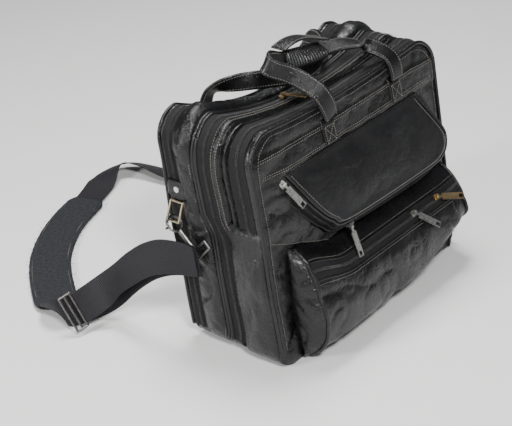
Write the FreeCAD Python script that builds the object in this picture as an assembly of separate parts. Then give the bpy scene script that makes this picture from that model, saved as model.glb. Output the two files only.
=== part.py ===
import FreeCAD, Part
import math
import os

# Soft leather flight bag.  Millimetres, +X along the length, front towards -Y, +Z up, and the
# origin in the middle of the base.  The bag is three leather sections side by side across Y, and
# each section boundary is a plane that drifts rearwards as it rises.

V = FreeCAD.Vector

# ---- driving dimensions ---------------------------------------------------------------------
LENGTH = 430.0          # end to end
HEIGHT = 345.0          # floor to the top of the two ends
LEAN = 0.118            # rearward drift of each section boundary, per unit of height
SHELL = 4.0             # leather, foam and lining together
CORNER_R = 42.0         # upper corners, seen from the front
BASE_R = 26.0           # lower corners
SAG_FRONT = 5.0         # sag of the top at mid length, at the front face
SAG_BACK = 44.0         # and at the back face

# section boundaries, as Y at floor level
FRONT_Y = -92.0         # outer face of the front panel
FRONT_ZIP_Y = -68.0
FRONT_DIVIDER_Y = -32.0
MAIN_ZIP_Y = -12.0
DIVIDER_Y = 6.0
REAR_ZIP_Y = 58.0
BACK_Y = 78.0           # outer face of the back panel

SPLIT = 0.5             # half the gap where two sections part at a zip
SKIN = 1.2              # how far zip tape and trim stand proud of the shell
PIPING = 3.0            # how far piping stands proud
TAPE_W = 9.0            # one zip tape, without its coil
COIL_W = 2.0            # half a coil
ZIP_END = 20.0          # height at which the zips stop at each end
CLEAR = 0.4             # air between pieces of different bodies

WEB_W = 50.0            # shoulder strap webbing
WEB_T = 2.0
PAD_W = 68.0            # shoulder pad
PAD_T = 9.0
HANDLE_W = 27.0
HANDLE_T = 5.0
BAND_LOW, BAND_HIGH = 280.0, 315.0      # the leather band that the front handle is sewn to
FOOT_X = (-50.0, 108.0)                 # middles of the front handle's two ends
BACK_FOOT_X = (-104.0, 118.0)


def lean(y, z):
    return y + LEAN * z


def front_face(z):
    return lean(FRONT_Y, z)


def export(name, shape):
    shape = shape.removeSplitter() if shape.Volume > 0 else shape
    if not shape.isValid():
        shape.fix(0.01, 0.01, 0.05)
    print("%-28s solids %d  volume %9.1f  valid %s" % (name, len(shape.Solids), shape.Volume,
                                                      shape.isValid()))
    shape.exportStep("parts/%s.step" % name)


def polygon(points):
    return Part.makePolygon(list(points) + [points[0]])


def prism(points, along):
    return Part.Face(polygon(points)).extrude(along)


def prism_x(points_yz, x0, x1):
    return prism([V(x0, y, z) for y, z in points_yz], V(x1 - x0, 0, 0))


def prism_y(points_xz, y0, y1):
    return prism([V(x, y0, z) for x, z in points_xz], V(0, y1 - y0, 0))


def box(x0, x1, y0, y1, z0, z1):
    return Part.makeBox(x1 - x0, y1 - y0, z1 - z0, V(x0, y0, z0))


def slab(y0, y1):
    low, high = -60.0, 460.0
    corners = [(lean(y0, low), low), (lean(y1, low), low),
               (lean(y1, high), high), (lean(y0, high), high)]
    return prism_x(corners, -400.0, 400.0)


def arc_xz(y, cx, cz, r, start):
    """A quarter circle in a plane of constant Y, turning anticlockwise from start degrees."""
    pts = [V(cx + r * math.cos(math.radians(a)), y, cz + r * math.sin(math.radians(a)))
           for a in (start, start + 45.0, start + 90.0)]
    return Part.Arc(*pts).toShape()


def profile(y, inset):
    """The bag seen from the front, as a closed wire, at one Y and inset by a wall thickness."""
    half, top, low = LENGTH / 2 - inset, HEIGHT - inset, max(inset, 0.0)
    rt, rb = CORNER_R - inset, BASE_R - inset
    front, back = front_face(HEIGHT), lean(BACK_Y, HEIGHT)
    sag = SAG_FRONT + (SAG_BACK - SAG_FRONT) * (y - front) / (back - front)
    rb = min(rb, BASE_R)
    crown = Part.Arc(V(half - rt, y, top), V(0, y, top - sag), V(-half + rt, y, top)).toShape()
    edges = [Part.makeLine(V(-half + rb, y, low), V(half - rb, y, low)),
             arc_xz(y, half - rb, low + rb, rb, -90.0),
             Part.makeLine(V(half, y, low + rb), V(half, y, top - rt)),
             arc_xz(y, half - rt, top - rt, rt, 0.0), crown,
             arc_xz(y, -half + rt, top - rt, rt, 90.0),
             Part.makeLine(V(-half, y, top - rt), V(-half, y, low + rb)),
             arc_xz(y, -half + rb, low + rb, rb, 180.0)]
    return Part.Wire(edges)


def hull(inset):
    return Part.makeLoft([profile(-160.0, inset), profile(180.0, inset)], True, True)


def shell_between(outer_inset, inner_inset):
    return hull(outer_inset).cut(hull(inner_inset))


WALL = shell_between(0.0, SHELL)
TAPE_SKIN = shell_between(-SKIN, 0.0)
COIL_SKIN = shell_between(-SKIN - 1.0, 0.0)
PIPE_SKIN = shell_between(-PIPING, 0.0)
SOLID = hull(0.0)
INSIDE = hull(SHELL)

CX, CZ = LENGTH / 2 - CORNER_R, HEIGHT - CORNER_R
BX, BZ = LENGTH / 2 - BASE_R, BASE_R
FAR = 100.0
REGION = {
    "left": prism_y([(-BX, BZ), (-CX, CZ), (-CX - FAR, CZ + FAR), (-BX - FAR, BZ - FAR)],
                    -300, 300),
    "top": prism_y([(-CX, CZ), (0, CZ - 60), (CX, CZ), (CX + FAR, CZ + FAR),
                    (-CX - FAR, CZ + FAR)], -300, 300),
    "right": prism_y([(BX, BZ), (CX, CZ), (CX + FAR, CZ + FAR), (BX + FAR, BZ - FAR)],
                     -300, 300),
    "base": prism_y([(-BX, BZ), (-BX - FAR, BZ - FAR), (BX + FAR, BZ - FAR), (BX, BZ)],
                    -300, 300),
}
ABOVE_ZIP_END = box(-300, 300, -300, 300, ZIP_END, 460)


def band(skin, y0, y1, region=None):
    piece = skin.common(slab(y0, y1))
    return piece.common(REGION[region]) if region else piece


def arch(skin, y0, y1):
    """A strip over one end, the top and the other end, stopping where the zips stop."""
    return band(skin, y0, y1).common(ABOVE_ZIP_END)


# ---- sections of the bag ----------------------------------------------------------------------
def ends(y0, y1):
    return Part.makeCompound([band(WALL, y0, y1, side) for side in ("left", "right")])


def zip_half(y, direction):
    """One zip tape with its half of the coil, on the side of the zip line that direction gives."""
    coil = sorted((y + direction * 0.3, y + direction * (0.3 + COIL_W)))
    tape = sorted((y + direction * (0.2 + COIL_W), y + direction * (0.3 + COIL_W + TAPE_W)))
    return arch(TAPE_SKIN, *tape).fuse(arch(COIL_SKIN, *coil))


def rear_section():
    front, back = MAIN_ZIP_Y + SPLIT, REAR_ZIP_Y - SPLIT
    export("rear_end_gussets", ends(front, back))
    export("rear_top_gusset", band(WALL, front, back, "top"))
    export("rear_base", band(WALL, front, BACK_Y - SHELL - SPLIT, "base"))
    export("rear_divider", INSIDE.common(slab(DIVIDER_Y - 1.5, DIVIDER_Y + 1.5)))
    board_low = SHELL + 0.2
    export("base_board", box(-BX + 4, BX - 4, DIVIDER_Y + 6, REAR_ZIP_Y - 4, board_low,
                             board_low + 2.5))
    export("double_piping", Part.makeCompound(
        [arch(PIPE_SKIN, y - 1.6, y + 1.6) for y in (DIVIDER_Y - 2.6, DIVIDER_Y + 2.6)]))
    export("main_zip_tape_rear", zip_half(MAIN_ZIP_Y, 1))
    export("rear_zip_tape_inner", zip_half(REAR_ZIP_Y, -1))


def back_flap():
    export("back_panel", SOLID.common(slab(BACK_Y - SHELL, BACK_Y)))
    export("back_piping", arch(PIPE_SKIN, BACK_Y - 5.0, BACK_Y - 1.0))
    export("rear_zip_tape_outer", zip_half(REAR_ZIP_Y, 1))
    patches = [box(x - HANDLE_W / 2, x + HANDLE_W / 2, -300, 300, 262, 300)
               for x in BACK_FOOT_X]
    export("back_handle_patches", Part.makeCompound(
        [p.common(slab(BACK_Y, BACK_Y + 3.5)) for p in patches]))


def front_section():
    front, back = FRONT_Y + SHELL, MAIN_ZIP_Y - SPLIT
    export("front_end_gussets", ends(front, back))
    export("front_top_gusset", band(WALL, front, back, "top"))
    export("front_base", band(WALL, front, back, "base"))
    export("front_divider", INSIDE.common(slab(FRONT_DIVIDER_Y - 1.5, FRONT_DIVIDER_Y + 1.5)))
    export("front_panel", SOLID.common(slab(FRONT_Y, FRONT_Y + SHELL)))
    export("front_piping", band(PIPE_SKIN, FRONT_Y, FRONT_Y + 4.0).common(ABOVE_ZIP_END))
    export("main_zip_tape_front", zip_half(MAIN_ZIP_Y, -1))
    export("front_zip_tapes", Part.makeCompound([zip_half(FRONT_ZIP_Y, -1),
                                                 zip_half(FRONT_ZIP_Y, 1)]))
    strip = box(-206, 206, -300, 300, BAND_LOW, BAND_HIGH)
    export("front_band", strip.common(slab(FRONT_Y - 2.0, FRONT_Y)))
    patches = [box(x - HANDLE_W / 2, x + HANDLE_W / 2, -300, 300, BAND_LOW + 2, BAND_HIGH - 2)
               for x in FOOT_X]
    export("front_handle_patches", Part.makeCompound(
        [p.common(slab(FRONT_Y - 5.0, FRONT_Y - 2.0)) for p in patches]))


# ---- organizer pocket on the upper front --------------------------------------------------------
# (x, z) outlines with matching corners: where the gusset meets the front panel, and the flap.
ORG_TOP = 277.0
ORG_BASE = [(-184, ORG_TOP), (-165, 245), (-140, 212), (-105, 176), (-62, 153), (100, 144),
            (172, 150), (203, 172), (197, 215), (166, ORG_TOP)]
ORG_FLAP = [(-158, ORG_TOP), (-143, 250), (-124, 218), (-104, 197), (-75, 186), (100, 183),
            (158, 187), (180, 205), (175, 228), (148, ORG_TOP)]
FLAP_TOP_Y, FLAP_LOW_Y, FLAP_LOW_Z = -67.0, -112.0, 183.0
FLAP_T = 3.5


def flap_y(z):
    """Outer face of the flap, which stands out from the bag further down."""
    k = (ORG_TOP - z) / (ORG_TOP - FLAP_LOW_Z)
    return FLAP_TOP_Y + (FLAP_LOW_Y - FLAP_TOP_Y) * k


def offset_outline(points, grow, lift_top):
    """The outline grown outwards; its two top corners move sideways, and up by lift_top."""
    out = [(points[0][0] - grow, points[0][1] + lift_top)]
    for (xa, za), (x, z), (xb, zb) in zip(points, points[1:], points[2:]):
        tx, tz = xb - xa, zb - za
        size = math.hypot(tx, tz)
        out.append((x + grow * tz / size, z - grow * tx / size))
    return out + [(points[-1][0] + grow, points[-1][1] + lift_top)]


def organizer_point(x, z, f):
    return V(x, (1 - f) * front_face(z) + f * (flap_y(z) + FLAP_T), z)


def organizer_mix(f):
    """The pocket's outline at a fraction f of the way from the front panel to the flap."""
    return [((1 - f) * a[0] + f * b[0], (1 - f) * a[1] + f * b[1])
            for a, b in zip(ORG_BASE, ORG_FLAP)]


def frustum(f0, f1, grow, lift_top=0.0, back_off=0.0):
    """The pocket between two fractions of its depth; back_off shortens its flap end."""
    wires = []
    for f, off in ((f0, 0.0), (f1, back_off)):
        outline = offset_outline(organizer_mix(f), grow, lift_top)
        wires.append(polygon([organizer_point(x, z, f) + V(0, off, 0) for x, z in outline]))
    return Part.makeLoft(wires, True, True)


BELOW_HINGE = box(-300, 300, -300, 0, 0, ORG_TOP - 1.0)


def biggest(shape):
    return max(shape.Solids, key=lambda solid: solid.Volume)


def organizer_skin(f0, f1, low, high):
    skin = frustum(f0, f1, high).cut(frustum(f0 - 0.2, f1 + 0.2, low, 8.0))
    return biggest(skin.common(BELOW_HINGE))


def organizer():
    tape = organizer_skin(0.20, 0.51, 0.0, SKIN)
    tape = tape.fuse(organizer_skin(0.50, 0.555, 0.0, SKIN + 1.0))
    export("organizer_tape_body", tape)
    under_flap_tape = organizer_skin(0.565, 1.0, 0.0, CLEAR + SKIN + 1.0)
    gusset = frustum(0.0, 1.0, 0.0, 0.0, CLEAR).cut(frustum(-0.1, 1.2, -4.0, 8.0))
    gusset = gusset.cut(tape).cut(under_flap_tape)
    export("organizer_gusset", biggest(gusset.common(BELOW_HINGE)))
    tape = organizer_skin(0.62, 0.97, CLEAR, CLEAR + SKIN)
    export("organizer_tape_flap", tape.fuse(organizer_skin(0.575, 0.63, CLEAR,
                                                           CLEAR + SKIN + 1.0)))
    grow = CLEAR + SKIN
    outline = offset_outline(ORG_FLAP, grow, 0.0)
    face = [V(x, flap_y(z), z) for x, z in outline]
    plate = Part.Face(Part.makePolygon(face + [face[0]])).extrude(V(0, FLAP_T, 0))
    export("organizer_flap", plate.common(box(-300, 300, -300, 0, 0, ORG_TOP)))


# ---- lower pocket ------------------------------------------------------------------------------
POCKET_X = (-166.0, 196.0)
POCKET_LINE = [(-78.0, 146.0), (-104.0, 131.0), (-128.0, 98.0), (-137.0, 66.0), (-129.0, 32.0),
               (-108.0, 4.0)]           # (y, z) of the pocket's outer face, from the top down
POCKET_T = 3.5
POCKET_ZIP = 1                          # the zip lies at this corner of the line


def offset_line(points, distance):
    """The same broken line moved inwards, towards +Y."""
    out = []
    for i, (y, z) in enumerate(points):
        (ya, za), (yb, zb) = points[max(i - 1, 0)], points[min(i + 1, len(points) - 1)]
        size = math.hypot(yb - ya, zb - za)
        out.append((y + distance * -(zb - za) / size, z + distance * (yb - ya) / size))
    return out


def bent_sheet(line, inner, outer, x0, x1):
    return prism_x(offset_line(line, outer) + offset_line(line, inner)[::-1], x0, x1)


POCKET_ZIP_Y, POCKET_ZIP_Z = POCKET_LINE[POCKET_ZIP]
POCKET_NEXT_Y, POCKET_NEXT_Z = POCKET_LINE[POCKET_ZIP + 1]
POCKET_RUN = math.hypot(POCKET_NEXT_Y - POCKET_ZIP_Y, POCKET_NEXT_Z - POCKET_ZIP_Z)
POCKET_DOWN = V(0, (POCKET_NEXT_Y - POCKET_ZIP_Y) / POCKET_RUN,
                (POCKET_NEXT_Z - POCKET_ZIP_Z) / POCKET_RUN)
POCKET_OUT = V(0, POCKET_DOWN.z, -POCKET_DOWN.y)
POCKET_COIL = (8.0, 11.0)               # along POCKET_DOWN, from the corner


def pocket_strip(s0, s1, high):
    """A strip of zip on the pocket's face, between two distances below its corner."""
    start = V(0, POCKET_ZIP_Y, POCKET_ZIP_Z)
    quad = [start + POCKET_DOWN * s + POCKET_OUT * h
            for s, h in ((s0, 0.0), (s1, 0.0), (s1, high), (s0, high))]
    return prism_x([(v.y, v.z) for v in quad], *POCKET_X)


def lower_pocket():
    x0, x1 = POCKET_X
    before_panel = box(-300, 300, -400, 300, 0, 400).cut(
        prism_x([(front_face(0), 0), (200, 0), (200, 400), (front_face(400), 400)], -300, 300))
    sheet = bent_sheet(POCKET_LINE, POCKET_T, 0.0, x0, x1).common(before_panel)
    upper = box(-300, 300, -400, 300, POCKET_ZIP_Z, 400)
    floor = prism_x([(front_face(0), 0), (front_face(0), POCKET_T), (-106.0, POCKET_T),
                     (-106.0, 0)], x0, x1).common(before_panel)
    export("lower_pocket_front", sheet.cut(upper).fuse(floor))
    inner = offset_line(POCKET_LINE, POCKET_T)
    fill = [(front_face(inner[0][1]), inner[0][1])] + inner[1:-1] + [(-106.0, POCKET_T),
                                                                     (front_face(0), POCKET_T)]
    walls = [prism_x(fill, a, a + POCKET_T).common(before_panel).cut(sheet).cut(floor)
             for a in (x0, x1 - POCKET_T)]
    export("lower_pocket_gusset", Part.makeCompound([sheet.common(upper)] + walls))
    zips = [pocket_strip(1.0, POCKET_COIL[0], SKIN), pocket_strip(*POCKET_COIL, SKIN + 1.0),
            pocket_strip(POCKET_COIL[1], 18.0, SKIN)]
    export("pocket_zip_tapes", zips[0].fuse(zips[1]).fuse(zips[2]))
    edge = bent_sheet(POCKET_LINE, 0.0, -2.5, x0, x0 + 4.0).common(before_panel)
    export("lower_pocket_piping", edge.common(box(-300, 300, -400, 300, 0.5, POCKET_ZIP_Z - 22)))


# ---- straps --------------------------------------------------------------------------------------
def unit(v):
    v = V(v)
    v.normalize()
    return v


def rounded_route(points, widths, step_deg=12.0):
    """Sections along straight runs joined by tangent arcs: (place, direction, width direction)."""
    pts = [V(*p) for p in points]
    wide = [V(*w) for w in widths]
    sections = [(pts[0], unit(pts[1] - pts[0]), wide[0])]
    radii, length = [], 0.0
    last = pts[0]
    for i in range(1, len(pts) - 1):
        run_a, run_b = pts[i] - pts[i - 1], pts[i + 1] - pts[i]
        a, b = unit(run_a), unit(run_b)
        turn = a.getAngle(b)
        shorter = min(run_a.Length, run_b.Length)
        radius = 0.45 * shorter / math.tan(turn / 2)
        radii.append(radius)
        start = pts[i] - a * (0.45 * shorter)
        normal = unit(a.cross(b))
        toward = normal.cross(a)
        centre = start + toward * radius
        length += (start - last).Length + radius * turn
        count = max(2, int(math.ceil(math.degrees(turn) / step_deg)))
        for k in range(count + 1):
            spin = FreeCAD.Rotation(normal, math.degrees(turn) * k / count)
            place = centre + spin.multVec(toward * -radius)
            sections.append((place, spin.multVec(a), wide[i]))
        last = sections[-1][0]
    length += (pts[-1] - last).Length
    sections.append((pts[-1], unit(pts[-1] - pts[-2]), wide[-1]))
    return sections, radii, length


def blend_widths(sections, points, widths):
    """Turns the width direction evenly along the route, between those given at its points."""
    pts = [V(*p) for p in points]
    wide = [V(*w) for w in widths]
    out = []
    for place, along, _ in sections:
        best = None
        for i in range(len(pts) - 1):
            seg = pts[i + 1] - pts[i]
            t = max(0.0, min(1.0, (place - pts[i]).dot(seg) / seg.dot(seg)))
            gap = (place - (pts[i] + seg * t)).Length
            if best is None or gap < best[0] - 1e-6:
                best = (gap, wide[i] * (1 - t) + wide[i + 1] * t)
        w = best[1]
        w = unit(w - along * w.dot(along))
        out.append((place, along, w))
    return out


def ribbon(name, points, widths, width, thick):
    """A flat strap: thin rectangles along the route, joined by ruled faces."""
    sections, radii, length = rounded_route(points, widths)
    wires = []
    for place, along, w in blend_widths(sections, points, widths):
        n = along.cross(w)
        half, t = w * (width / 2), n * (thick / 2)
        wires.append(polygon([place - half - t, place + half - t, place + half + t,
                              place - half + t]))
    solid = Part.makeLoft(wires, True, True)
    print("%s: length %.0f, volume against section x length %.3f, least radius %.0f, radii %s"
          % (name, length, solid.Volume / (width * thick * length), min(radii),
             " ".join("%.0f" % r for r in radii)))
    return solid


# near strap: from the left hook's loop down to the floor in two layers; then the pad, the far
# run behind the bag, and up to the right hook's loop.
MAIN_ROUTE = [(-241.6, 31.0, 153.0), (-244.4, 72.0, 148.0), (-241.0, 121.0, 125.0),
              (-238.5, 166.0, 88.0), (-240.0, 204.0, 50.0), (-254.0, 230.0, 28.0),
              (-286.0, 238.0, 28.0), (-317.0, 254.0, 27.0), (-308.0, 280.0, 16.0),
              (-284.0, 302.0, 7.0), (-246.0, 357.0, 5.8), (-196.0, 416.0, 5.8),
              (-140.0, 459.0, 5.8), (-78.0, 492.0, 5.8), (-14.0, 512.0, 5.8),
              (34.0, 531.0, 7.0), (78.0, 549.0, 17.0), (110.0, 537.0, 20.0),
              (124.0, 497.0, 15.0), (128.0, 447.0, 9.5), (146.0, 392.0, 5.0),
              (178.0, 334.0, 3.6), (209.0, 278.0, 3.6), (232.0, 222.0, 6.0),
              (244.0, 172.0, 16.0), (247.0, 132.0, 42.0), (245.0, 104.0, 76.0),
              (242.5, 84.0, 106.0), (241.0, 73.0, 128.0)]
MAIN_WIDTHS = [(0, -0.69, 0.72), (0.1, -0.1, 0.97), (0.25, 0.30, 0.90), (0.30, 0.25, 0.90),
               (0.3, 0.1, 0.92), (0.35, 0.3, 0.88), (0.1, 0.35, 0.93), (-0.2, 0.35, 0.90),
               (-0.60, 0.5, 0.42), (-0.83, 0.55, 0.05), (-0.80, 0.60, 0), (-0.70, 0.71, 0),
               (-0.55, 0.83, 0), (-0.40, 0.92, 0), (-0.35, 0.94, 0), (-0.38, 0.92, 0.1),
               (0.1, 0.85, -0.42), (0.75, 0.50, -0.45), (0.88, 0.20, -0.40),
               (0.95, 0.10, -0.22), (0.95, 0.30, 0), (0.88, 0.48, 0), (0.87, 0.48, 0),
               (0.93, 0.36, -0.05), (0.95, 0.1, -0.25), (0.8, -0.5, -0.3), (0.3, -0.9, -0.2),
               (0.05, -1, 0.05), (0, -0.995, 0.1)]
PAD_RUN = slice(9, 15)                  # the points of the main route that the pad covers
ADJUST_ROUTE = [(-247.6, 31.0, 155.0), (-251.5, 76.0, 153.0), (-249.0, 126.0, 131.0),
                (-249.0, 170.0, 97.0), (-253.0, 204.0, 65.0), (-275.0, 221.0, 44.0),
                (-304.0, 229.0, 37.0)]
ADJUST_WIDTHS = [(0, -0.69, 0.72), (0.2, -0.05, 0.97), (0.37, 0.30, 0.88), (0.40, 0.25, 0.86),
                 (0.50, 0.2, 0.80), (0.45, 0.4, 0.75), (0.2, 0.4, 0.9)]


def shoulder_strap():
    export("strap_webbing", ribbon("webbing", MAIN_ROUTE, MAIN_WIDTHS, WEB_W, WEB_T))
    export("strap_adjuster", ribbon("adjuster", ADJUST_ROUTE, ADJUST_WIDTHS, WEB_W, WEB_T))
    export("shoulder_pad", ribbon("pad", MAIN_ROUTE[PAD_RUN], MAIN_WIDTHS[PAD_RUN], PAD_W,
                                  PAD_T))
    place = V(*ADJUST_ROUTE[-1])
    along = unit(place - V(*ADJUST_ROUTE[-2]))
    across = V(*ADJUST_WIDTHS[-1])
    across = unit(across - along * across.dot(along))
    glide = rect_ring(place + along * 9.0, across, along, WEB_W / 2 + 3.0, 9.0, 1.9)
    middle = place + along * 9.0
    bar = rod(middle - across * (WEB_W / 2 + 3.0), middle + across * (WEB_W / 2 + 3.0), 1.9)
    export("tri_glide", glide.fuse(bar))


# ---- end fittings: tab, rivet, ring, snap hook and strap loop ----------------------------------
RING_AXIS = (79.0, 226.0)               # (y, z) of the bar that the ring turns on
RING_OUT = 9.0                          # that bar's distance out from the end of the bag
RING_BAR = 1.7
RING_HALF = (11.0, 14.0)                # half the ring's width and half its drop
RING_TILT = 25.0                        # degrees that the ring stands out at rest
RING_BORE = RING_BAR + 0.3
BOW_R, BOW_BAR = 12.0, 2.2              # the snap hook's round bow
BOW_DROP = 4.5                          # bow centre beyond the ring's lower bar
TAB_GAP = 2.6                           # under the tab, where it passes over the rear zip
HOOK_LEN = 42.0                         # bow centre to the end of the neck
LOOP_GAP = 12.0                         # between the strap loop's two long bars
GATE_HALF = 5.0                         # half the gate's length
HOOK_DIRECTION = {"left": V(0, -0.72, -0.69), "right": V(0, -0.10, -0.995)}
SIGN = {"left": -1, "right": 1}


def rod(a, b, radius):
    return Part.makeCylinder(radius, (b - a).Length, a, b - a)


def rect_ring(centre, u, v, half_u, half_v, radius):
    """A rectangular loop of round wire with ball corners."""
    corners = [centre + u * (su * half_u) + v * (sv * half_v)
               for su, sv in ((-1, -1), (1, -1), (1, 1), (-1, 1))]
    ring = Part.makeSphere(radius, corners[0])
    for a, b in zip(corners, corners[1:] + corners[:1]):
        ring = ring.fuse(rod(a, b, radius)).fuse(Part.makeSphere(radius, b))
    return ring


def ring_tab(side):
    """A leather tab folded round the ring's upper bar and sewn to the end of the bag."""
    sign = SIGN[side]
    x = sign * LENGTH / 2
    y, z = RING_AXIS
    axis = V(x + sign * RING_OUT, y - 20.0, z)
    inner, outer = x + sign * TAB_GAP, x + sign * (TAB_GAP + 3.0)
    tab = box(*sorted((inner, outer)), y - 19, y + 19, z - 5, z + 28)
    seat = box(*sorted((x, outer)), y - 19, y - 8, z - 5, z + 28)
    fold = Part.makeCylinder(RING_OUT - TAB_GAP - 1.5, 17.0, axis + V(0, 11.5, 0), V(0, 1, 0))
    cover = box(*sorted((outer, outer + sign * 4.5)), y - 13, y + 13, z + 2, z + 9)
    bore = Part.makeCylinder(RING_BORE, 40.0, axis, V(0, 1, 0))
    return tab.fuse(seat).fuse(fold).fuse(cover).cut(bore)


def rivet(side):
    sign = SIGN[side]
    y, z = RING_AXIS
    return Part.makeCylinder(4.5, 2.4, V(sign * (LENGTH / 2 + TAB_GAP + 3.0), y, z + 18.0), V(sign, 0, 0))


def ring_drop(side):
    """The way from the ring's upper bar to its lower one."""
    tilt = math.radians(RING_TILT)
    return V(SIGN[side] * math.sin(tilt), 0, -math.cos(tilt))


def hook_pieces(side):
    """The snap hook in two solids, bow and gate, and its strap loop."""
    sign = SIGN[side]
    out = V(sign, 0, 0)
    direction = unit(HOOK_DIRECTION[side])
    across = unit(direction.cross(out))
    bar = V(sign * (LENGTH / 2 + RING_OUT), *RING_AXIS) + ring_drop(side) * (2 * RING_HALF[1])
    bow = bar + direction * BOW_DROP
    neck_end = bow + direction * HOOK_LEN
    body = rod(bow + direction * BOW_R, neck_end, 4.0)
    collar = rod(neck_end - direction * 7.0, neck_end, 4.9)
    centre = bow + out * BOW_R
    opening = rod(centre - direction * (GATE_HALF + 0.6), centre + direction * (GATE_HALF + 0.6),
                  BOW_BAR + 1.6)
    hook = Part.makeTorus(BOW_R, BOW_BAR, bow, across).fuse(body).fuse(collar).cut(opening)
    gate = rod(centre - direction * GATE_HALF, centre + direction * GATE_HALF, 1.7)
    thumb = rod(centre, centre + out * 6.0, 1.6)
    loop_centre = neck_end + direction * (5.0 + LOOP_GAP / 2)
    loop = rect_ring(loop_centre, across, direction, WEB_W / 2 + 4.0, LOOP_GAP / 2, 1.9)
    stem = rod(neck_end + direction * 0.3, neck_end + direction * 5.0, 3.0)
    tell("pivot", side + "_gate", centre + direction * GATE_HALF, across)
    tell("place", side + "_far_bar", loop_centre + direction * (LOOP_GAP / 2), across)
    return hook, gate.fuse(thumb), loop.fuse(stem)


def tell(kind, name, place, axis):
    print("%s %s %.4f %.4f %.4f  %.6f %.6f %.6f" % ((kind, name) + tuple(place) + tuple(axis)))


def end_fittings():
    sides = ("left", "right")
    export("ring_tabs", Part.makeCompound([ring_tab(side) for side in sides]))
    export("tab_rivets", Part.makeCompound([rivet(side) for side in sides]))
    hooks = [hook_pieces(side) for side in sides]
    export("snap_hooks", Part.makeCompound([h[0] for h in hooks]))
    export("strap_loops", Part.makeCompound([h[2] for h in hooks]))
    for side, pieces in zip(sides, hooks):
        export(side + "_hook_gate", pieces[1])
        pivot = V(SIGN[side] * (LENGTH / 2 + RING_OUT), *RING_AXIS)
        down = ring_drop(side)
        ring = rect_ring(pivot + down * RING_HALF[1], V(0, 1, 0), down, *RING_HALF, RING_BAR)
        export(side + "_ring", ring)
        tell("pivot", side + "_ring", pivot, V(0, 1, 0))


# ---- carry handles --------------------------------------------------------------------------------
FRONT_AXIS = (-62.0, 319.0)             # (y, z) that each handle turns about above its patches
BACK_AXIS = (120.0, 304.0)
FRONT_HANDLE = [(-50.0, -63.0, 320.0), (-57.0, -63.0, 352.0), (-70.0, -38.0, 375.0),
                (-84.0, -17.0, 389.0), (-106.0, -3.0, 401.0), (-97.0, 10.0, 409.0),
                (-54.0, 12.0, 388.0), (-10.0, 11.0, 381.0), (29.0, 9.0, 378.0),
                (58.0, 0.0, 378.0), (84.0, -15.0, 373.0), (101.0, -42.0, 363.0),
                (107.0, -63.0, 347.0), (108.0, -63.0, 320.0)]
FRONT_HANDLE_W = [(1, 0, 0), (0.9, -0.4, 0.2), (0.75, -0.5, 0.4), (0.55, -0.3, 0.8),
                  (0.44, -0.22, 0.87), (0.44, -0.1, 0.9), (0.3, 0.3, 0.9), (0.1, 0.7, 0.6),
                  (0, 0.9, 0.4), (-0.2, 0.9, 0.3), (-0.5, 0.8, 0.2), (-0.85, 0.5, 0.1),
                  (-1, 0.15, 0.05), (-1, 0, 0)]
GRIP_RUN = slice(6, 9)
GRIP_W, GRIP_T = 31.0, 15.0
BACK_HANDLE = [(-104.0, 122.5, 305.0), (-103.0, 122.0, 334.0), (-92.0, 98.0, 348.0),
               (-67.0, 73.0, 350.0), (-38.0, 50.0, 349.0), (-6.0, 33.0, 345.0),
               (34.0, 27.0, 347.0), (74.0, 42.0, 354.0), (100.0, 76.0, 358.0),
               (116.0, 118.0, 344.0), (118.0, 122.5, 305.0)]
BACK_HANDLE_W = [(-1, 0, 0), (-1, 0, 0.1), (-0.6, 0.1, 0.8), (0.1, 0.2, 0.95),
                 (0.3, 0.25, 0.9), (0.2, 0.25, 0.9), (0, 0.2, 0.95), (0, -0.2, 0.95),
                 (0.3, -0.3, 0.8), (0.8, 0.2, 0.4), (1, 0, 0)]
WRAP = [(-68.0, 9.0, 413.0), (-48.0, 9.0, 418.0), (-18.0, 9.0, 414.0), (9.0, 9.0, 402.5),
        (30.0, 9.0, 394.5)]
WRAP_W, WRAP_T = 34.0, 2.5


def handles():
    export("front_handle", ribbon("front handle", FRONT_HANDLE, FRONT_HANDLE_W, HANDLE_W,
                                  HANDLE_T))
    export("handle_grip", ribbon("grip", FRONT_HANDLE[GRIP_RUN], FRONT_HANDLE_W[GRIP_RUN],
                                 GRIP_W, GRIP_T))
    export("back_handle", ribbon("back handle", BACK_HANDLE, BACK_HANDLE_W, HANDLE_W, HANDLE_T))
    export("handle_wrap", ribbon("wrap", WRAP, [(0, 1, 0)] * len(WRAP), WRAP_W, WRAP_T))


# ---- zip sliders and pulls -----------------------------------------------------------------------
SLIDER_LONG, SLIDER_WIDE, SLIDER_DEEP = 10.0, 9.0, 3.0
PIN_R, KNUCKLE_R, KNUCKLE_BORE = 0.8, 2.0, 1.0
PIN_HEIGHT = 2.6                        # pin above the slider's outer face
PULL_LONG, PULL_WIDE, PULL_THICK = 38.0, 10.0, 1.6
COIL_GAP = 1.0                          # slider's underside above the coil


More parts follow.
